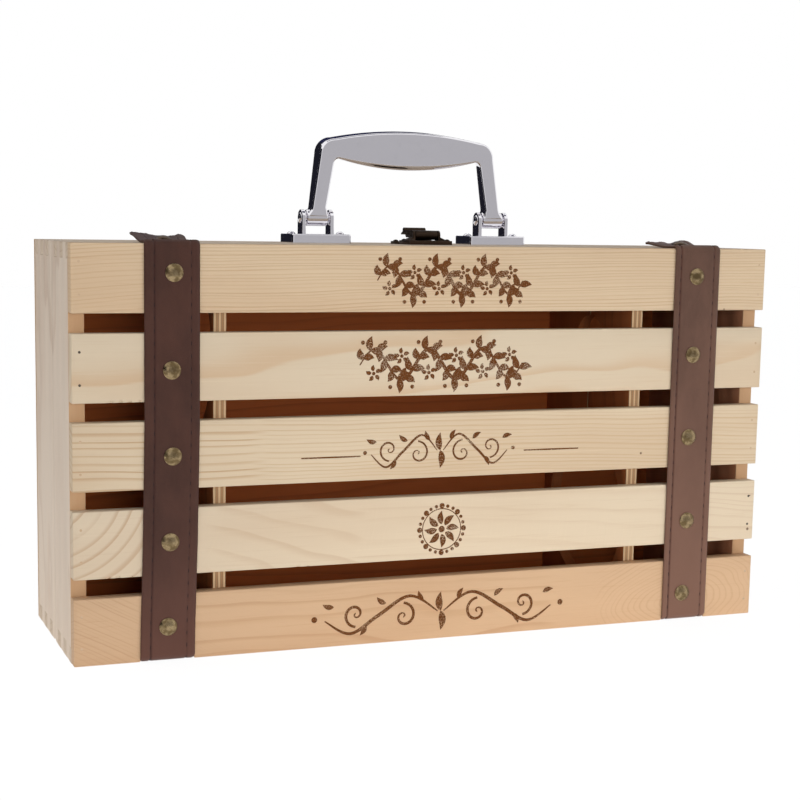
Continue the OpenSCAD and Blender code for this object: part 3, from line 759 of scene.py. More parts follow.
# Slat by slat: early wood, late wood, thin lines, and the runs of rings along it; some also have
# specks, and how much painted shade darkens them towards the left.
SLAT_LOOKS = {
    "slat_1": dict(
        pale=srgb(215, 190, 157), dark=srgb(186, 148, 112), line=srgb(190, 148, 108),
        specks=((145, 158.6, 0.9), (152, 157.5, 0.6)),
        figures=[Rings((0, 12, -120), 1.5, (0, 0, 0.012), 5.0, 1.7, 0.6, (-135, 200)),
                 Rings((0, 10, 60), 1.9, (0, 0.3, 0.09), 8.0, 3.7, 0.55, (-200, -135))]),
    "slat_2": dict(
        pale=srgb(218, 199, 171), dark=srgb(208, 176, 140), line=srgb(204, 170, 132), left_shade=0.5,
        figures=[Rings((0, 4, 150), 8.5, (0, 0.03, 0.01), 16.0, 4.3, 0.75)]),
    "slat_3": dict(
        pale=srgb(223, 202, 171), dark=srgb(194, 156, 116), line=srgb(196, 158, 116),
        specks=((107.6, 86.2, 0.8),), left_shade=0.8,
        figures=[Rings((0, 20, -60), 3.2, (0, 0, -0.014), 6.0, 7.9, 0.9, (-200, -90)),
                 Rings((0, 20, -60), 1.9, (0, 0, -0.014), 6.0, 2.9, 0.5, (-90, 200))]),
    "slat_4": dict(
        pale=srgb(227, 207, 178), dark=srgb(200, 166, 132), line=srgb(206, 176, 142),
        specks=((172.3, 62, 0.5), (171.5, 47, 0.5), (171.8, 44.6, 1.0)), left_shade=1.0,
        figures=[Rings((0, 108, 76), 5.2, (0, 0.85, 0), 4.0, 2.2, 0.78, (-200, -128)),
                 Rings((0, 30, 20), 5.2, (0, 0.12, 0), 12.0, 5.2, 0.35, (-112, -40)),
                 Rings((0, 60, -90), 6.5, (0, 0.2, 0.12), 9.0, 8.2, 0.25, (-40, 130)),
                 Rings((0, 20, -20), 2.2, (0, 0.1, 0.1), 9.0, 6.2, 0.4, (130, 200))]),
    "slat_5": dict(
        pale=srgb(217, 180, 142), dark=srgb(190, 144, 104), line=srgb(196, 148, 108), left_shade=1.0,
        figures=[Rings((0, 40, 140), 2.0, (0, 0.1, -0.55), 4.0, 9.1, 0.4, (-200, -146)),
                 Rings((0, 16, -30), 5.0, (0, 0.03, 0.03), 14.0, 6.6, 0.45, (-125, 60)),
                 Rings((0, -118, 2), 1.7, (0, 0.5, 0.06), 17.0, 1.1, 0.34, (88, 200))]),
}
# Splinters missing from the lower front edges of slats: place along it, length and depth.
CHIPS = {
    "slat_2": ((-158, 3.0, 1.0), (-153.5, 2.2, 1.3), (-149.5, 2.6, 0.9), (-145, 2.0, 1.1)),
    "slat_4": ((-159, 1.6, 0.9), (-155, 2.4, 1.2), (-149, 1.8, 0.9), (-71, 2.2, 1.0),
               (-66, 1.5, 0.7)),
}


class WINE_BOX_OT_boards(bpy.types.Operator):
    """Boards and end boards of both halves, and the back panel"""
    bl_idname = "wine_box.boards"
    bl_label = "Boards"

    def execute(self, context):
        wood = settings("box_wood")

        def board(node, look, slot):
            settle(from_node(node, wood.board_edge, 2, BOARD_EDGE_LEAST), look, slot, node)

        for half in ("case", "lid"):
            for part, height in (("top", 230), ("bottom", -70)):
                node = f"{half}_{part}"
                board(node, sawn_pine(
                    "pine_" + node, wood.frame_pale, wood.frame_dark,
                    [Rings((0, -20, height), 3.4, (0, 0.02, 0.01), 6.0, height / 50, 0.6)],
                    end_grain=0.22, inside=True), "frame_wood")
            for part, side in SIDES:
                node = f"{half}_end_{part}"
                board(node, sawn_pine(
                    "pine_" + node, wood.end_pale, wood.end_dark,
                    [Rings((0, 14 * side, -60 * side), 11.0, (0, 0.05, 0.02), 30.0, 3.1 + side,
                           0.5)],
                    turned=UPRIGHT, inside=True, front_edge=half == "lid"), "end_wood")
        low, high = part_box("back_panel")
        board("back_panel", plywood("plywood_back", 1, low.y / MM, (high.y - low.y) / MM / 3,
                                    (0, 0, 0), wood.panel), "back_plywood")
        return {"FINISHED"}


def chip_edge(piece, low, places):
    """Takes small splinters out of a slat's lower front edge."""
    cutters = []
    for seed, (x, long, deep) in enumerate(places, 1):
        pick()
        bpy.ops.mesh.primitive_ico_sphere_add(subdivisions=2, radius=1, location=(
            x * MM, low.y + 0.2 * MM, low.z))
        cutter = fresh("chip", (long / 2 * MM, 0.9 * MM, deep * MM))
        with shaping(cutter):
            bpy.ops.transform.vertex_random(offset=0.25 * MM, seed=seed)
        cutters.append(cutter)
    carve(piece, join("chips", *cutters))
    smooth(piece)


class WINE_BOX_OT_slats(bpy.types.Operator):
    """The five slats of the front, each with its own grain"""
    bl_idname = "wine_box.slats"
    bl_label = "Slats"

    def execute(self, context):
        for node, look in SLAT_LOOKS.items():
            piece = from_node(node, settings("box_wood").slat_edge, 3, BOARD_EDGE_LEAST)
            if node in CHIPS:
                chip_edge(piece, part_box(node)[0], CHIPS[node])
            settle(piece, sawn_pine("pine_" + node, **look), "slat_wood", node)
        return {"FINISHED"}


class WINE_BOX_OT_dividers(bpy.types.Operator):
    """The plywood dividers with their bottle and neck holes"""
    bl_idname = "wine_box.dividers"
    bl_label = "Dividers"

    def execute(self, context):
        wood = settings("box_wood")
        for half in ("case", "lid"):
            for side, _ in SIDES:
                node = f"{half}_divider_{side}"
                low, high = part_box(node)
                # the divider faces take the red-brown inside colour, partly painted shade and
                # bounce light
                look = plywood("plywood_" + node, 0, low.x / MM, (high.x - low.x) / MM / 5,
                               UPRIGHT, wood.inside, low.y / MM + 0.3)
                settle(from_node(node, wood.board_edge, 2, BOARD_EDGE_LEAST), look,
                       "divider_plywood", node)
        return {"FINISHED"}


class WINE_BOX_OT_brads(bpy.types.Operator):
    """The small brads that stay from the frame: a few bare, the others filled over"""
    bl_idname = "wine_box.brads"
    bl_label = "Brads"

    def execute(self, context):
        made, body = finish("brad_steel", Metallic=0.3)
        across, _, up = axes()
        bare = 0.0
        for node, low, high in (("slat_2", 0.0, 1.0), ("slat_4", 1.0, 0.0)):
            height = off(up, sum(corner.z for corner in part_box(node)) / 2 / MM)
            bare = calc("MAXIMUM", bare, times(
                step(height, 15, 16, 1, 0), step(across, -1, 1, high, low)))
        wear = placed("Metal Wear", Vector=here(), Scratch_Pitch=0.3)
        rust, putty = (blend(step(wear["Scratch"], 0.4, 0.6), *tones)
                       for tones in ((settings("box_metal").steel, RUST), PUTTY))
        dress(body, blend(bare, putty, rust), step(wear["Smudge"], 0.3, 0.7, 0.45, 0.7),
              wear["Scratch"], 0.02)
        for node in ("slat_brads", "back_brads"):
            for place in frame["nodes"][node].material_slots:
                place.material = made
        return {"FINISHED"}


# ---------------------------------------------------------------- straps

STRAP_COLUMNS = 48
SPAN = STRAP_COLUMNS + 1  # points in a row of a strap
STRAP_ROW = 1.25 * MM
FLAP, TUCK = 30 * MM, 16 * MM
LEATHER = 1.0 * MM
LIFT = 0.42 * MM  # from the wood to the leather's middle skin
BEND = 1.71 * MM  # height that the three bends of a fold take up
GROOVE = 1.25 * MM  # from the strap's lowest point to its run underneath
STITCH = (0.5, 1.5, 0.24)  # half the width, length and height of a stitch, in millimetres
# For each strap: below which height it gets paler, where its creases are from its left edge
# and how dark their painted shade is, how far it strays sideways at a height, where its tacks
# are, and what curls up at the end of its flap (across, height, reach).
STRAP_LOOKS = {
    "left": dict(
        pale_below=70, creases={4.2: 0.75, 20.7: 0.15},
        stray=((0, -0.1), (16, 0.1), (54, 1.2), (107, 2.1), (190, 2.1)),
        tacks=((-129.8, 174.8), (-130.9, 131.8), (-130.5, 93.4), (-131.7, 54.6),
               (-132.75, 15.9)),
        curls=((-12, 3.2, 24), (11, 2.4, 9), (3, 0.6, 5))),
    "right": dict(
        pale_below=185, creases={2.7: 0.75, 21.3: 0.45}, stray=((0, 0.0), (190, 0.0)),
        tacks=((134.6, 173.8), (134.2, 135.0), (133.6, 93.6), (134.6, 51.1), (133.5, 13.8)),
        curls=((-12, 1.5, 20), (9, 2.4, 10), (-3, 0.7, 5))),
}


def between(pairs, value):
    """The number that goes with a value, on straight lines between pairs."""
    for (a, first), (b, second) in zip(pairs, pairs[1:]):
        if value <= b:
            return first + (second - first) * max(0.0, value - a) / (b - a)
    return pairs[-1][1]


def fold(mesh, height, upward, stop):
    """Folds the strap away from the front above or below a height, in three small bends."""
    first = round((height + TUCK) / STRAP_ROW)
    for bend in range(3):
        row = first + upward * bend
        middle = mesh.verts[row * SPAN + STRAP_COLUMNS // 2].co.copy()
        choose(mesh, lambda v: (v.index // SPAN - row) * upward > 0)
        bpy.ops.transform.rotate(value=math.radians(-30 * upward) * TURN_SIGN, orient_axis="X",
                                 center_override=middle)
        mesh.verts.ensure_lookup_table()
    beyond = mesh.verts[(first + upward * 8) * SPAN + STRAP_COLUMNS // 2].co.z
    shift(z=stop - beyond)


def strap(side):
    """A leather strap: laid out flat before the front, then folded over top and bottom."""
    node, look = f"strap_{side}", STRAP_LOOKS[side]
    low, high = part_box(node)
    width, middle = high.x - low.x - 0.2 * MM, (low.x + high.x) / 2
    rows = round((TOP + FLAP + TUCK) / STRAP_ROW)
    tall = rows * STRAP_ROW
    pick()
    bpy.ops.mesh.primitive_grid_add(
        x_subdivisions=STRAP_COLUMNS, y_subdivisions=rows, size=1,
        location=(middle, FRONT - LIFT, tall / 2 - TUCK), rotation=(QUARTER, 0, 0))
    piece = fresh(node + "_leather", (width, tall, 1))
    edge = width / 2
    pitch = width / STRAP_COLUMNS
    with shaping(piece) as mesh:
        mesh.verts.ensure_lookup_table()
        for crease in look["creases"]:
            for beside, depth in ((0, 0.4), (pitch, 0.12), (-pitch, 0.12)):
                choose(mesh, lambda v: abs(v.co.x - middle + edge - crease * MM - beside)
                       < pitch / 2)
                shift(y=depth * MM)
        for beside, depth in ((0, 0.4), (pitch, 0.16)):
            choose(mesh, lambda v: abs(edge - abs(v.co.x - middle) - beside) < pitch / 2)
            shift(y=depth * MM)
        for vertex in mesh.verts:
            vertex.co.x += between(look["stray"], vertex.co.z / MM) * MM
        fold(mesh, TOP + LIFT - BEND, 1, TOP + LIFT)
        under = low.z + GROOVE - LIFT
        fold(mesh, under + BEND, -1, under)
        last = rows * SPAN
        for across, height, reach in look["curls"]:
            column = min(max(round((across * MM + edge) / pitch), 0), STRAP_COLUMNS)
            choose(mesh, lambda v: v.index == last + column)
            shift(y=-0.4 * MM, z=height * MM, reach=reach * MM)
        choose(mesh, lambda v: v.index >= last)
        bpy.ops.transform.vertex_random(offset=0.3 * MM, seed=len(side))
    places = [v.co.copy() for v in piece.data.vertices]
    use(piece, "SOLIDIFY", thickness=LEATHER, offset=1.0, use_even_offset=True)
    ease(piece, 0.25)
    smooth(piece, 60)
    return piece, places, rows, width


def stitches(side, places, rows, width):
    """Rows of thread in the creases, which follow the folded strap."""
    pick()
    bpy.ops.mesh.primitive_uv_sphere_add(segments=8, ring_count=6, radius=1)
    pattern = fresh("stitch")
    made = []
    pitch = settings("box_leather").stitch_pitch
    for crease in STRAP_LOOKS[side]["creases"]:
        column = round(crease * MM / width * STRAP_COLUMNS)
        along = pitch
        while along < rows * STRAP_ROW - 2.5 * MM:
            row, part = divmod(along / STRAP_ROW, 1)
            at = int(row) * SPAN + column
            run = (places[at + SPAN] - places[at]).normalized()
            out = (places[at + 3] - places[at - 3]).cross(run).normalized()
            spot = places[at].lerp(places[at + SPAN], part) + out * (LEATHER + 0.02 * MM)
            shape = Matrix([way * half * MM
                            for way, half in zip((run.cross(out), run, out), STITCH)])
            made.append(twin(pattern, Matrix.Translation(spot) @ shape.transposed().to_4x4()))
            along += pitch
    bpy.data.objects.remove(pattern)
    piece = join(f"strap_{side}_stitches", *made)
    outward(piece)
    smooth(piece)
    return piece


class WINE_BOX_OT_straps(bpy.types.Operator):
    """The two leather straps with their flaps, creases and stitching"""
    bl_idname = "wine_box.straps"
    bl_label = "Straps"

    def execute(self, context):
        values = settings("box_leather")
        thread, body = finish("strap_thread")
        grain = placed("Leather Grain", Vector=here(), Cell=0.35)["Height"]
        dress(body, blend(step(grain, 0.5, 1.0), toned(values.thread, 0.5), values.thread), 0.8,
              grain, 0.1)
        for side, tone in (("left", values.left_tone), ("right", values.right_tone)):
            look = STRAP_LOOKS[side]
            piece, places, rows, width = strap(side)
            settle(piece, leather(f"leather_{side}", tone, width / MM, look["creases"],
                                  look["pale_below"]), "strap_leather", f"strap_{side}")
            settle(stitches(side, places, rows, width), thread, "strap_leather", body="lid")
        return {"FINISHED"}


# ---------------------------------------------------------------- tacks and screws

# Domed heads in millimetres: radius, height, collar, and the radius and depth of the shank.
TACK = (4.5, 2.0, 0.35, 0.7, 5.0)
PIN_HEAD = (2.9, 1.0, 0.3, 1.5, 1.0)
BRACKET_SCREW = (2.2, 1.3, 0.25, 1.2, 6.0)
TACK_LIFT = 1.38 * MM  # from the wood to the foot of a tack's head
TOP_TACK = 17 * MM  # from the front to the tack on a flap
TACK_SPIN = 1.3  # from one tack to the next, so that no two look alike

def dome(name, radius, height, collar, shank, deep):
    """A domed head that stands on z = 0 and faces up, with its shank."""
    ball = (radius ** 2 + height ** 2) / (2 * height)
    pick()
    bpy.ops.mesh.primitive_uv_sphere_add(
        segments=40, ring_count=64, radius=ball * MM, location=(0, 0, (height - ball) * MM))
    head = fresh(name)
    with shaping(head) as mesh:
        bpy.ops.mesh.bisect(plane_co=(0, 0, collar * MM), plane_no=(0, 0, 1), clear_inner=True,
                            use_fill=False)
        choose(mesh, lambda e: e.is_boundary, "edges")
        bpy.ops.mesh.extrude_region_move(TRANSFORM_OT_translate={"value": (0, 0, -collar * MM)})
        bpy.ops.mesh.edge_face_add()
    shaft = rod(name + "_shank", 0, -deep / 2, shank, deep, 12, lying=False)
    ease(head, 0.08)
    piece = join(name, head, shaft)
    smooth(piece, 40)
    return piece


class WINE_BOX_OT_tacks(bpy.types.Operator):
    """The domed brass tacks that hold the straps"""
    bl_idname = "wine_box.tacks"
    bl_label = "Tacks"

    def execute(self, context):
        values = settings("box_metal")
        # the tack up on the flap gets a painted shade above the box's top
        look = metal("tack_metal", values.tack_brass, values.tack_patina, (0.26, 0.4), pitch=0.4,
                     patina=(0.36, 0.62), worn=0.5, bump=0.012, smudge=2.6, shade_above=TOP / MM - 0.4)
        pattern = dome("tack", *TACK)
        for side, _ in SIDES:
            low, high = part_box(f"strap_{side}")
            made = [twin(pattern, Matrix.Translation((x * MM, FRONT - TACK_LIFT, z * MM))
                         @ spun(90, "X") @ Matrix.Rotation(i * TACK_SPIN, 4, "Z"))
                    for i, (x, z) in enumerate(STRAP_LOOKS[side]["tacks"])]
            made.append(twin(pattern, Matrix.Translation((
                (low.x + high.x) / 2 + STRAP_LOOKS[side]["stray"][-1][1] * MM,
                FRONT + TOP_TACK, TOP + TACK_LIFT))))
            settle(join(f"strap_tacks_{side}_domes", *made), look, "tack_brass",
                   f"strap_tacks_{side}")
        bpy.data.objects.remove(pattern)
        return {"FINISHED"}


# ---------------------------------------------------------------- handle

# The handle's sizes in millimetres, as the frame has them.
HANDLE = SimpleNamespace(
    middle=3.9, up=12.3, span=94.2, grip=54.8, grip_h=18.6, end_h=9.8, crown=3.9, lean=4.4,
    arm=7.4, thick=8.0, shoulder=8.0, armpit=2.5, lug=11.0, lug_d=8.0, flare=4.5, ear=1.9,
    ear_w=8.0, ear_out=6.3, base=(30.5, 20.0, 4.4), back=12.65)
FOOT = HANDLE.span / 2
OUTER = FOOT - HANDLE.lean + HANDLE.arm / 2
INNER = OUTER - HANDLE.arm
PIN = 1.98
EAR_RIM, CORNER, BASE_RIM = 0.4, 1.3, 0.6  # roundings of a bracket
SCREW_IN = 2.6  # from a bracket's end to its screw
CROSS = (1.3, 0.25, 0.75)  # half the length and width of a screw's recess, and its floor
END_UP = HANDLE.grip - HANDLE.crown
END_LOW = END_UP - HANDLE.end_h
MID_LOW = HANDLE.grip - HANDLE.grip_h


def around(x, z, radius, degrees):
    """The point on a circle at an angle."""
    way = math.radians(degrees)
    return x + radius * math.cos(way), z + radius * math.sin(way)


def arc(x, z, radius, first, last, steps=16):
    """Points on a circle, from one angle to another."""
    return [around(x, z, radius, first + (last - first) * i / steps) for i in range(steps + 1)]


def arch(reach, high, drop):
    """Points on a low arch, from -reach to reach."""
    return [(reach * i / 30, high - drop * (i / 30) ** 2) for i in range(-30, 31)]


def mirrored(points):
    return [(-x, z) for x, z in reversed(points)]


def cut_out(name, outline, thick, rim, rounds=4):
    """A flat outline in x and z, in millimetres, given its thickness and a rounded rim."""
    piece = from_curve(
        name, [[(x, z, 1) for x, z in outline]], True, dimensions="2D", fill_mode="BOTH",
        extrude=(thick / 2 - rim) * MM, bevel_depth=rim * MM, bevel_resolution=rounds,
        offset=-rim * MM)
    piece.data.transform(spun(90, "X"))
    with shaping(piece):
        bpy.ops.mesh.remove_doubles(threshold=0.001 * MM)
    outward(piece)
    smooth(piece, 30)
    return piece


def handle_outline():
    """The handle's outline above the box, in millimetres, about its middle."""
    h = HANDLE
    inset = h.lean * h.flare / (END_UP - h.shoulder - h.up)

    def foot(side):
        """One edge of an arm, from its lug up to where the flare ends."""
        lug, arm = FOOT + side * h.lug / 2, FOOT + side * h.arm / 2 - inset
        return [(lug, h.up), (lug - side * 0.4, h.up + 1.6),
                (arm + side * 0.5, h.up + h.flare - 0.9), (arm, h.up + h.flare + 0.6)]

    shoulder = foot(1) + arc(OUTER - h.shoulder, END_UP - h.shoulder, h.shoulder, 0, 80)
    armpit = arc(INNER - h.armpit, END_LOW - h.armpit, h.armpit, 90, 0) + foot(-1)[::-1]
    return (shoulder + arch(OUTER - h.shoulder, h.grip, h.crown)[::-1] + mirrored(shoulder)
            + mirrored(armpit) + arch(INNER - h.armpit, MID_LOW, MID_LOW - END_LOW) + armpit)


def swell(piece, rim):
    """Makes the handle a little larger at its back, and rounder under its grip."""
    h = HANDLE
    inner, front = INNER - h.armpit, -h.thick / 2
    fuller, wider = 1.7, 1.02  # at the middle of the grip's lower rim, and at the back
    with shaping(piece) as mesh:
        for vertex in mesh.verts:
            x, y, z = vertex.co / MM
            low = MID_LOW - (MID_LOW - END_LOW) * (x / inner) ** 2
            if y < 0 and abs(x) < inner and low - 0.1 < z < low + rim + 0.1:
                more = 1 + fuller * (1 - (x / inner) ** 2)
                vertex.co.z = (low + (z - low) * more) * MM
                vertex.co.y = (front + (y - front) * more) * MM
        choose(mesh, lambda v: v.co.y > 0 and v.co.z > (h.up + 6) * MM)
        bpy.ops.transform.resize(value=(wider, 1, wider), center_override=(0, 0, h.up * MM))


def settle_chrome(name, pieces, node):
    """Joins chromed pieces, made about the handle's middle, and sets them on the box."""
    piece = join(name, *pieces)
    piece.data.transform(Matrix.Translation((HANDLE.middle * MM, HANDLE.back * MM, TOP)))
    settle(piece, chrome(), "handle_chrome", node)


class WINE_BOX_OT_handle(bpy.types.Operator):
    """The folding handle, with a lug round each pin"""
    bl_idname = "wine_box.handle"
    bl_label = "Handle"

    def execute(self, context):
        h = HANDLE
        rim = settings("box_metal").rim / MM
        pieces = [cut_out("grip", handle_outline(), h.thick, rim)]
        swell(pieces[0], rim)
        for _, side in SIDES:
            pieces.append(rod("lug", side * FOOT, h.up, h.lug_d / 2, h.lug, 48))
            ease(pieces[-1], 0.9, 4)
        settle_chrome("handle_grip", pieces, "handle")
        return {"FINISHED"}


class WINE_BOX_OT_brackets(bpy.types.Operator):
    """The handle's brackets with their ears, pins and domed screws"""
    bl_idname = "wine_box.brackets"
    bl_label = "Brackets"

    def execute(self, context):
        for name, side in SIDES:
            self.plate(name, side)
        self.pins()
        self.screws()
        return {"FINISHED"}

    def plate(self, name, side):
        h = HANDLE
        wide, deep, tall = h.base
        base = block("base", (-wide / 2, -deep / 2, 0), (wide / 2, deep / 2, tall))
        with shaping(base) as mesh:
            choose(mesh, lambda e: abs(e.verts[0].co.z - e.verts[1].co.z) > MM, "edges")
            bpy.ops.mesh.bevel(offset=CORNER * MM, segments=6, affect="EDGES")
            choose(mesh, lambda e: min(v.co.z for v in e.verts) > (tall - 0.01) * MM, "edges")
            bpy.ops.mesh.bevel(offset=BASE_RIM * MM, segments=4, affect="EDGES")
        smooth(base, 30)
        pieces = [base]
        half, foot = h.ear_w / 2, tall - BASE_RIM
        outline = [(half, foot)] + arc(0, h.up, half, 0, 180, 24) + [(-half, foot)]
        for _, way in SIDES:
            ear = cut_out("ear", outline, h.ear, EAR_RIM, 3)
            ear.data.transform(moved(way * (h.ear_out + h.ear / 2)) @ spun(90, "Z"))
            pieces.append(ear)
        for piece in pieces:
            piece.data.transform(moved(side * FOOT))
        settle_chrome(f"handle_bracket_{name}_plate", pieces, f"handle_bracket_{name}")

    def pins(self):
        h = HANDLE
        out = h.ear_out + h.ear
        pieces = []
        for _, side in SIDES:
            pieces.append(rod("pin", side * FOOT, h.up, PIN, 2 * out))
            for _, end in SIDES:
                head = dome("pin_head", *PIN_HEAD)
                head.data.transform(moved(side * FOOT + end * out, 0, h.up)
                                    @ spun(90 * end, "Y"))
                pieces.append(head)
        settle_chrome("handle_pins_domed", pieces, "handle_pins")

    def screws(self):
        wide, _, tall = HANDLE.base
        pattern = dome("bracket_screw", *BRACKET_SCREW)
        long, thin, floor = CROSS
        carve(pattern, join("recess", *(
            block("bar", (-x, -y, floor), (x, y, 3)) for x, y in ((long, thin), (thin, long)))))
        pieces = [twin(pattern, moved(side * FOOT + end * (wide / 2 - SCREW_IN), 0, tall)
                       @ Matrix.Rotation(0.6 * side + end, 4, "Z"))
                  for _, side in SIDES for _, end in SIDES]
        bpy.data.objects.remove(pattern)
        settle_chrome("handle_screws_domed", pieces, "handle_bracket_screws")


# ---------------------------------------------------------------- latch and hinges


def fittings(look, slot, edges):
    """Settles CAD nodes of one metal, each with its edges eased this many millimetres."""
    for node, edge in edges.items():
        settle(from_node(node, edge * MM), look, slot, node)


class WINE_BOX_OT_latch(bpy.types.Operator):
    """The latch's plate, lever and catch in dark bronze, with their screws"""
    bl_idname = "wine_box.latch"
    bl_label = "Latch"

    def execute(self, context):
        tone = settings("box_metal").bronze
        look = metal("latch_metal", toned(tone, 2.6), tone, (0.36, 0.5), pitch=0.35,
                     patina=(0.15, 0.45), worn=0.6, bump=0.01)
        fittings(look, "latch_bronze", {
            "latch_plate": 0.22, "latch_lever": 0.22, "latch_catch": 0.22, "latch_pin": 0.15,
            "latch_screws_lid": 0.15, "latch_screws_case": 0.15})
        return {"FINISHED"}


class WINE_BOX_OT_hinges(bpy.types.Operator):
    """The two brass hinges under the box, with their pins and screws"""
    bl_idname = "wine_box.hinges"
    bl_label = "Hinges"

    def execute(self, context):
        values = settings("box_metal")
        tone = values.hinge_brass
        brass = metal("hinge_metal", tone, toned(tone, 0.5), (0.25, 0.45), patina=(0.4, 0.7))
        steel = metal("hinge_pin_steel", PLAIN_STEEL, values.steel, (0.25, 0.45))
        fittings(brass, "hinge_brass", {
            f"hinge_{part}_{half}": 0.12 for part in ("leaves", "screws")
            for half in ("lid", "case")})
        fittings(steel, "hinge_steel", {"hinge_pins": 0.1})
        return {"FINISHED"}


# ---------------------------------------------------------------- burned ornaments

# A stroke is a list of points (x, z, width) on the front, in millimetres.


def stem(points, width):
    """A smooth line through a few points, thin at both ends."""
    made = []
    ends = [points[0], *points, points[-1]]
    for a, b, c, d in zip(ends, ends[1:], ends[2:], ends[3:]):
        for i in range(8):
            t = i / 8
            made.append(tuple(
                0.5 * (2 * b[k] + (c[k] - a[k]) * t + (2 * a[k] - 5 * b[k] + 4 * c[k] - d[k])
                       * t * t + (3 * b[k] - 3 * c[k] + d[k] - a[k]) * t ** 3)
                for k in (0, 1)))
    made.append(points[-1])
    last = len(made) - 1
    return [(x, z, width * (0.35 + 0.65 * math.sin(math.pi * i / last)))
            for i, (x, z) in enumerate(made)]


def curl(x, z, reach, start, turns, width):
    """A spiral that winds in from its outer end; its turns are negative the other way."""
    core, steps = 0.45, 36
    made = []
    for i in range(steps + 1):
        t = i / steps
        made.append((*around(x, z, core + (reach - core) * (1 - t) ** 1.25,
                             start + turns * 360 * t),
                     width * (0.5 + 0.5 * math.sin(math.pi * min(1, 0.25 + t)))))
    return made + [(x, z, width * 1.3)]


def leaf(x, z, long, wide, direction):
    """A pointed leaf that starts at a place."""
    return [(*around(*around(x, z, long * t, direction), wide * 0.25 * math.sin(math.pi * t),
                     direction + 90), max(0.05, wide * math.sin(math.pi * t ** 0.8)))
            for t in (0, 0.1, 0.2, 0.35, 0.5, 0.65, 0.8, 0.9, 1)]


def bead(x, z, radius):
    """A round dot."""
    return [(x + radius * math.sin(math.radians(a)), z,
             max(0.05, 2 * radius * math.cos(math.radians(a)))) for a in range(-90, 91, 15)]


def petals(x, z, count, start, gap, long, wide):
    """Leaves in a ring, a gap away from its middle."""
    return [leaf(*around(x, z, gap, start + 360 * i / count), long, wide,
                 start + 360 * i / count) for i in range(count)]


def garland(first, last, middle, swing, waves, width):
    """A waving stem with leaves on both sides, and flowers in its hollows."""
    count = 8 * waves
    long = (last - first) / waves

    def at(i):
        return (first + (last - first) * i / count,
                middle + swing * math.sin(2 * math.pi * i * waves / count))

    made = [stem([at(i) for i in range(count + 1)], width)]
    for i in range(count):
        rise = math.cos(2 * math.pi * (i + 0.5) * waves / count)
        way = math.degrees(math.atan(rise * swing * 2 * math.pi / long))
        for side in (-1, 1):
            made.append(leaf(*at(i + 0.5), swing * (0.95 if i % 2 else 0.75), swing * 0.5,
                             way + side * 52))
    for i in range(2 * waves):
        x, up = first + long * (i + 0.5) / 2, 1 - 2 * (i % 2)
        size, flower = swing * 0.55, middle - up * swing * 0.55
        made += [bead(x, flower, size * 0.22)]
        made += petals(x, flower, 5, 90, size * 0.3, size * 0.72, size * 0.5)
        made += [bead(x + side * long * 0.2, middle + up * swing * 1.45, width * 0.55)
                 for side in (-1, 1)]
    return made


def flourish(x, z, reach, height, width):
    """A mirrored pair of long curls that meet in two small leaves."""
    made = []
    for side in (-1, 1):
        def at(along, up):
            return x + side * reach * along, z + height * up

        made.append(stem([(x + side * 1.5, z), at(0.25, 0.8), at(0.5, 0), at(0.72, -0.75),
                          at(0.92, -0.1)], width))
        made.append(curl(*at(0.3, -0.12), height * 0.62, 90, side * 1.3, width * 0.8))
        made.append(curl(*at(0.68, 0.12), height * 0.58, -90, side * 1.3, width * 0.8))
        for along, up, way in ((0.14, 0.525, 62), (0.44, 0.525, 35), (0.6, -0.385, -60),
                               (0.85, 0.525, 15)):
            made.append(leaf(*at(along, up), height * 0.55, height * 0.24,
                             way if side > 0 else 180 - way))
        made.append(bead(*at(1, 0), width * 0.8))
    return made + [leaf(x, z, height * 0.9, height * 0.36, way) for way in (90, -90)]


def rosette(x, z, radius):
    """Eight petals round a dot, in a ring of beads."""
    made = [bead(x, z, radius * 0.12)]
    made += petals(x, z, 8, 0, radius * 0.18, radius * 0.5, radius * 0.24)
    made += [bead(*around(x, z, radius * 0.86, 15 * i), radius * (0.065 if i % 3 else 0.1))
             for i in range(24)]
    return made + [[(*around(x, z, radius * 0.75, way), 0.5) for way in range(0, 361, 8)]]


def burn_in(name, strokes):
    """Strokes as one thin skin on the front of the slats."""
    piece = from_curve(name, strokes, dimensions="3D", bevel_depth=MM / 2, bevel_resolution=1,
                       use_fill_caps=True, twist_mode="Z_UP")
    with shaping(piece):
        bpy.ops.transform.resize(value=(1, 1, 0.03), center_override=(0, 0, 0))
    piece.data.transform(Matrix.Translation((0, FRONT - 0.012 * MM, 0)) @ spun(90, "X"))
    outward(piece)
    smooth(piece, 50)
    return piece


class WINE_BOX_OT_ornaments(bpy.types.Operator):
    """Burned scrolls, leaves and a rosette on the slats"""
    bl_idname = "wine_box.ornaments"
    bl_label = "Burned Ornaments"

    def execute(self, context):
        look = burned()
        rules = [[(-70, 90, 0.6), (-55, 90, 0.8), (-41, 90, 0.6)],
                 [(43, 90, 0.6), (58, 90, 0.8), (72.5, 90, 0.6)]]
        designs = {
            "slat_1": garland(-34, 40, 171.5, 6.8, 3, 1.7),
            "slat_2": garland(-42, 41, 132.5, 7.2, 3, 1.8),
            "slat_3": flourish(-0.8, 91.5, 38, 9.5, 1.2) + rules,
            "slat_4": rosette(0.8, 53.4, 13.2),
            "slat_5": flourish(1.2, 13.5, 64, 10.5, 1.8),
        }
        for node, strokes in designs.items():
            settle(burn_in("ornament_" + node, strokes), look, "slat_wood", body="lid")
        return {"FINISHED"}


# ---------------------------------------------------------------- stage

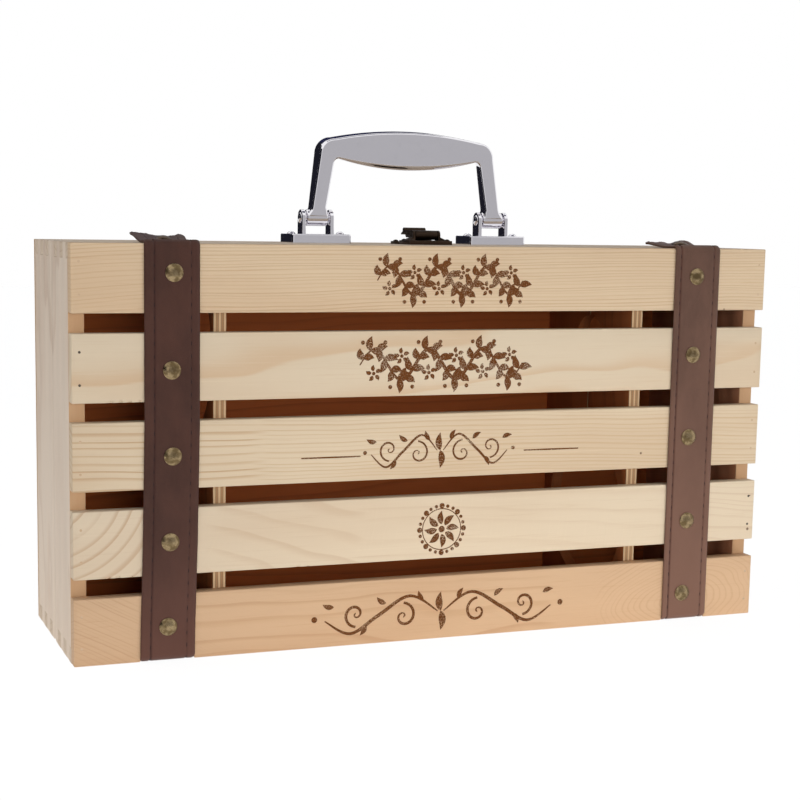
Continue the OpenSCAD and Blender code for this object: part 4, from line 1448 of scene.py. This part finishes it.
WHITE, SKY_BLUE = (1, 1, 1, 1), (0.96, 0.985, 1.03, 1)
PALE_GREY = (0.455, 0.45, 0.465)
PAPER_GLOW = 1.24  # makes the floor white in the picture
PAPER_SHARE, CLEAR_SHARE = 0.3, 0.45  # how much of it is plain paper, and how much is clear
POOL = (180, 520)  # where the light that it gives back fades, in millimetres
AIM = Vector((0, 0, 0.1))  # what the lamps shine at
SENSOR, SHIFT, CLIP = 36, (0.0399, 0.0504), (0.01, 50)
# Soft round lamps: place and width; their powers are among the settings.
LAMPS = {"side": ((0.5, -0.8, 0.15), 0.5), "fill": ((-0.25, -1.67, 0.3), 0.45),
         "left": ((-1.3, 0.2, 0.5), 0.8)}
# Cards that only mirrors see, as round a polished thing in a studio: place, turn, size, light.
CARDS = {
    "card_back_left": ((-0.75, 1.3, 0.2), (90, 0, 20), (1.3, 1.6), (0.012, 0.012, 0.018)),
    "card_left": ((-1.3, -0.25, 0.2), (90, 0, 90), (2.5, 1.6), (0.014, 0.014, 0.02)),
    "card_front": ((0.9, -2.2, 0.5), (90, 0, 0), (3.6, 2.4), PALE_GREY),
    "card_floor": ((0.9, -1.3, 0.002), (0, 0, 0), (3.6, 1.9), PALE_GREY),
    "card_over": ((0.1, -0.1, 1.5), (0, 0, 0), (1.2, 0.7), (0.045, 0.048, 0.085)),
    "card_behind": ((1.2, 3.0, 1.35), (90, 0, 0), (4, 1.4), (0.02, 0.022, 0.06)),
}


def glow(tone, strength):
    """A shader that gives off light."""
    return add("Emission", {0: tone, 1: strength}).outputs[0]


def mixed(share, first, second):
    """Two shaders in one, the second with this share."""
    return add("MixShader", {0: share, 1: first, 2: second}).outputs[0]


def stand(piece, made, shader):
    """Gives a piece of the stage its shader."""
    put(made.node_tree.nodes["Material Output"].inputs["Surface"], shader)
    piece.data.materials.append(made)


class WINE_BOX_OT_stage(bpy.types.Operator):
    """The pale floor, the soft light, the dark cards that the chrome mirrors, and the camera"""
    bl_idname = "wine_box.stage"
    bl_label = "Stage"

    def execute(self, context):
        values = settings("box_stage")
        scene = context.scene
        scene.view_settings.view_transform = "Standard"
        self.sky(scene, values)
        self.floor(values)
        self.cards()
        for name, (place, wide) in LAMPS.items():
            self.lamp(name + "_lamp", place, wide, getattr(values, name + "_power"))
        self.camera(scene, values)
        return {"FINISHED"}

    def sky(self, scene, values):
        world = scene.world = scene.world or bpy.data.worlds.new("studio")
        world.use_nodes = True
        Canvas.tree = world.node_tree
        Canvas.tree.nodes.clear()
        path = add("LightPath").outputs
        seen = calc("MAXIMUM", path["Is Camera Ray"],
                    calc("MAXIMUM", path["Is Glossy Ray"], path["Is Transmission Ray"]))
        strength = add("MapRange", {"Value": seen, "To Min": values.sky, "To Max": 1.0})
        light = add("Background", {0: blend(seen, SKY_BLUE, WHITE), 1: strength.outputs[0]})
        add("OutputWorld", {0: light.outputs[0]})

    def floor(self, values):
        pick()
        bpy.ops.mesh.primitive_grid_add(x_subdivisions=24, y_subdivisions=24, size=8,
                                        location=(0, 0, CAD_BOX[0][2] - 0.05 * MM))
        piece = fresh("floor")
        made, body = finish("floor_paper", Roughness=0.9)
        grain = clouds(here(), (0.5, 0.5, 0.5), 3.0)
        put(body.inputs["Base Color"], blend(grain, toned(values.floor, 0.97), values.floor))
        paper = body.outputs[0]
        path = add("LightPath").outputs
        soft = mixed(PAPER_SHARE, glow(WHITE, PAPER_GLOW), paper)
        glass = mixed(CLEAR_SHARE, soft, add("BsdfTransparent").outputs[0])
        far = vector("LENGTH", here(), output="Value")
        near = glow(WHITE, step(far, *POOL, values.pool, 0.0))
        lit = add("AddShader", {0: paper, 1: near}).outputs[0]
        stand(piece, made, mixed(path["Is Camera Ray"], mixed(path["Is Glossy Ray"], lit, soft),
                                 glass))

    def cards(self):
        for name, (place, turned, size, tone) in CARDS.items():
            pick()
            bpy.ops.mesh.primitive_plane_add(size=1, location=place, rotation=[
                math.radians(degrees) for degrees in turned])
            piece = fresh(name, (*size, 1))
            for way in ("camera", "diffuse", "transmission", "volume_scatter", "shadow"):
                setattr(piece, "visible_" + way, False)
            made, _ = finish(name)
            shade = blend(clouds(here(), (0.002, 0.002, 0.002)), (*tone, 1), toned(tone, 1.1))
            stand(piece, made, glow(shade, 1.0))

    def lamp(self, name, place, wide, power):
        pick()
        bpy.ops.object.light_add(type="AREA", location=place)
        lamp = bpy.context.object
        lamp.name = name
        lamp.data.shape, lamp.data.size, lamp.data.energy = "DISK", wide, power
        lamp.visible_glossy = False
        lamp.rotation_euler = (AIM - Vector(place)).to_track_quat("-Z", "Y").to_euler()

    def camera(self, scene, values):
        pick()
        bpy.ops.object.camera_add(location=values.camera_place, rotation=values.camera_turn)
        camera = scene.camera = bpy.context.object
        camera.name = "photo_camera"
        camera.data.sensor_width, camera.data.lens = SENSOR, values.lens
        camera.data.shift_x, camera.data.shift_y = SHIFT
        camera.data.clip_start, camera.data.clip_end = CLIP


# ---------------------------------------------------------------- the add-on


class WINE_BOX_PT_panel(bpy.types.Panel):
    """Makes the box, piece by piece"""
    bl_label = "Wine Box"
    bl_idname = "WINE_BOX_PT_panel"
    bl_space_type = "VIEW_3D"
    bl_region_type = "UI"
    bl_category = "Wine Box"

    def draw(self, context):
        for piece in PIECES:
            self.layout.operator(piece.bl_idname)
        for name, kind in SETTINGS.items():
            part = self.layout.box()
            for key in kind.__annotations__:
                part.prop(getattr(context.scene, name), key)


PIECES = (
    WINE_BOX_OT_boards, WINE_BOX_OT_slats, WINE_BOX_OT_dividers, WINE_BOX_OT_brads,
    WINE_BOX_OT_straps, WINE_BOX_OT_tacks, WINE_BOX_OT_handle, WINE_BOX_OT_brackets,
    WINE_BOX_OT_latch, WINE_BOX_OT_hinges, WINE_BOX_OT_ornaments, WINE_BOX_OT_stage,
)
SETTINGS = {
    "box_wood": BoxWoodSettings, "box_leather": BoxLeatherSettings,
    "box_metal": BoxMetalSettings, "box_stage": BoxStageSettings,
}
CLASSES = (*SETTINGS.values(), *PIECES, WINE_BOX_PT_panel)


def register():
    for kind in CLASSES:
        bpy.utils.register_class(kind)
    for name, kind in SETTINGS.items():
        setattr(bpy.types.Scene, name, bpy.props.PointerProperty(type=kind))


def unregister():
    for name in SETTINGS:
        delattr(bpy.types.Scene, name)
    for kind in reversed(CLASSES):
        bpy.utils.unregister_class(kind)


def main():
    """Makes the groups and every piece in order."""
    register()
    for make in (pine_rings, leather_grain, metal_wear, ply_layers):
        make()
    for piece in PIECES:
        area, _, name = piece.bl_idname.partition(".")
        getattr(getattr(bpy.ops, area), name)()


if __name__ == "__main__":
    main()
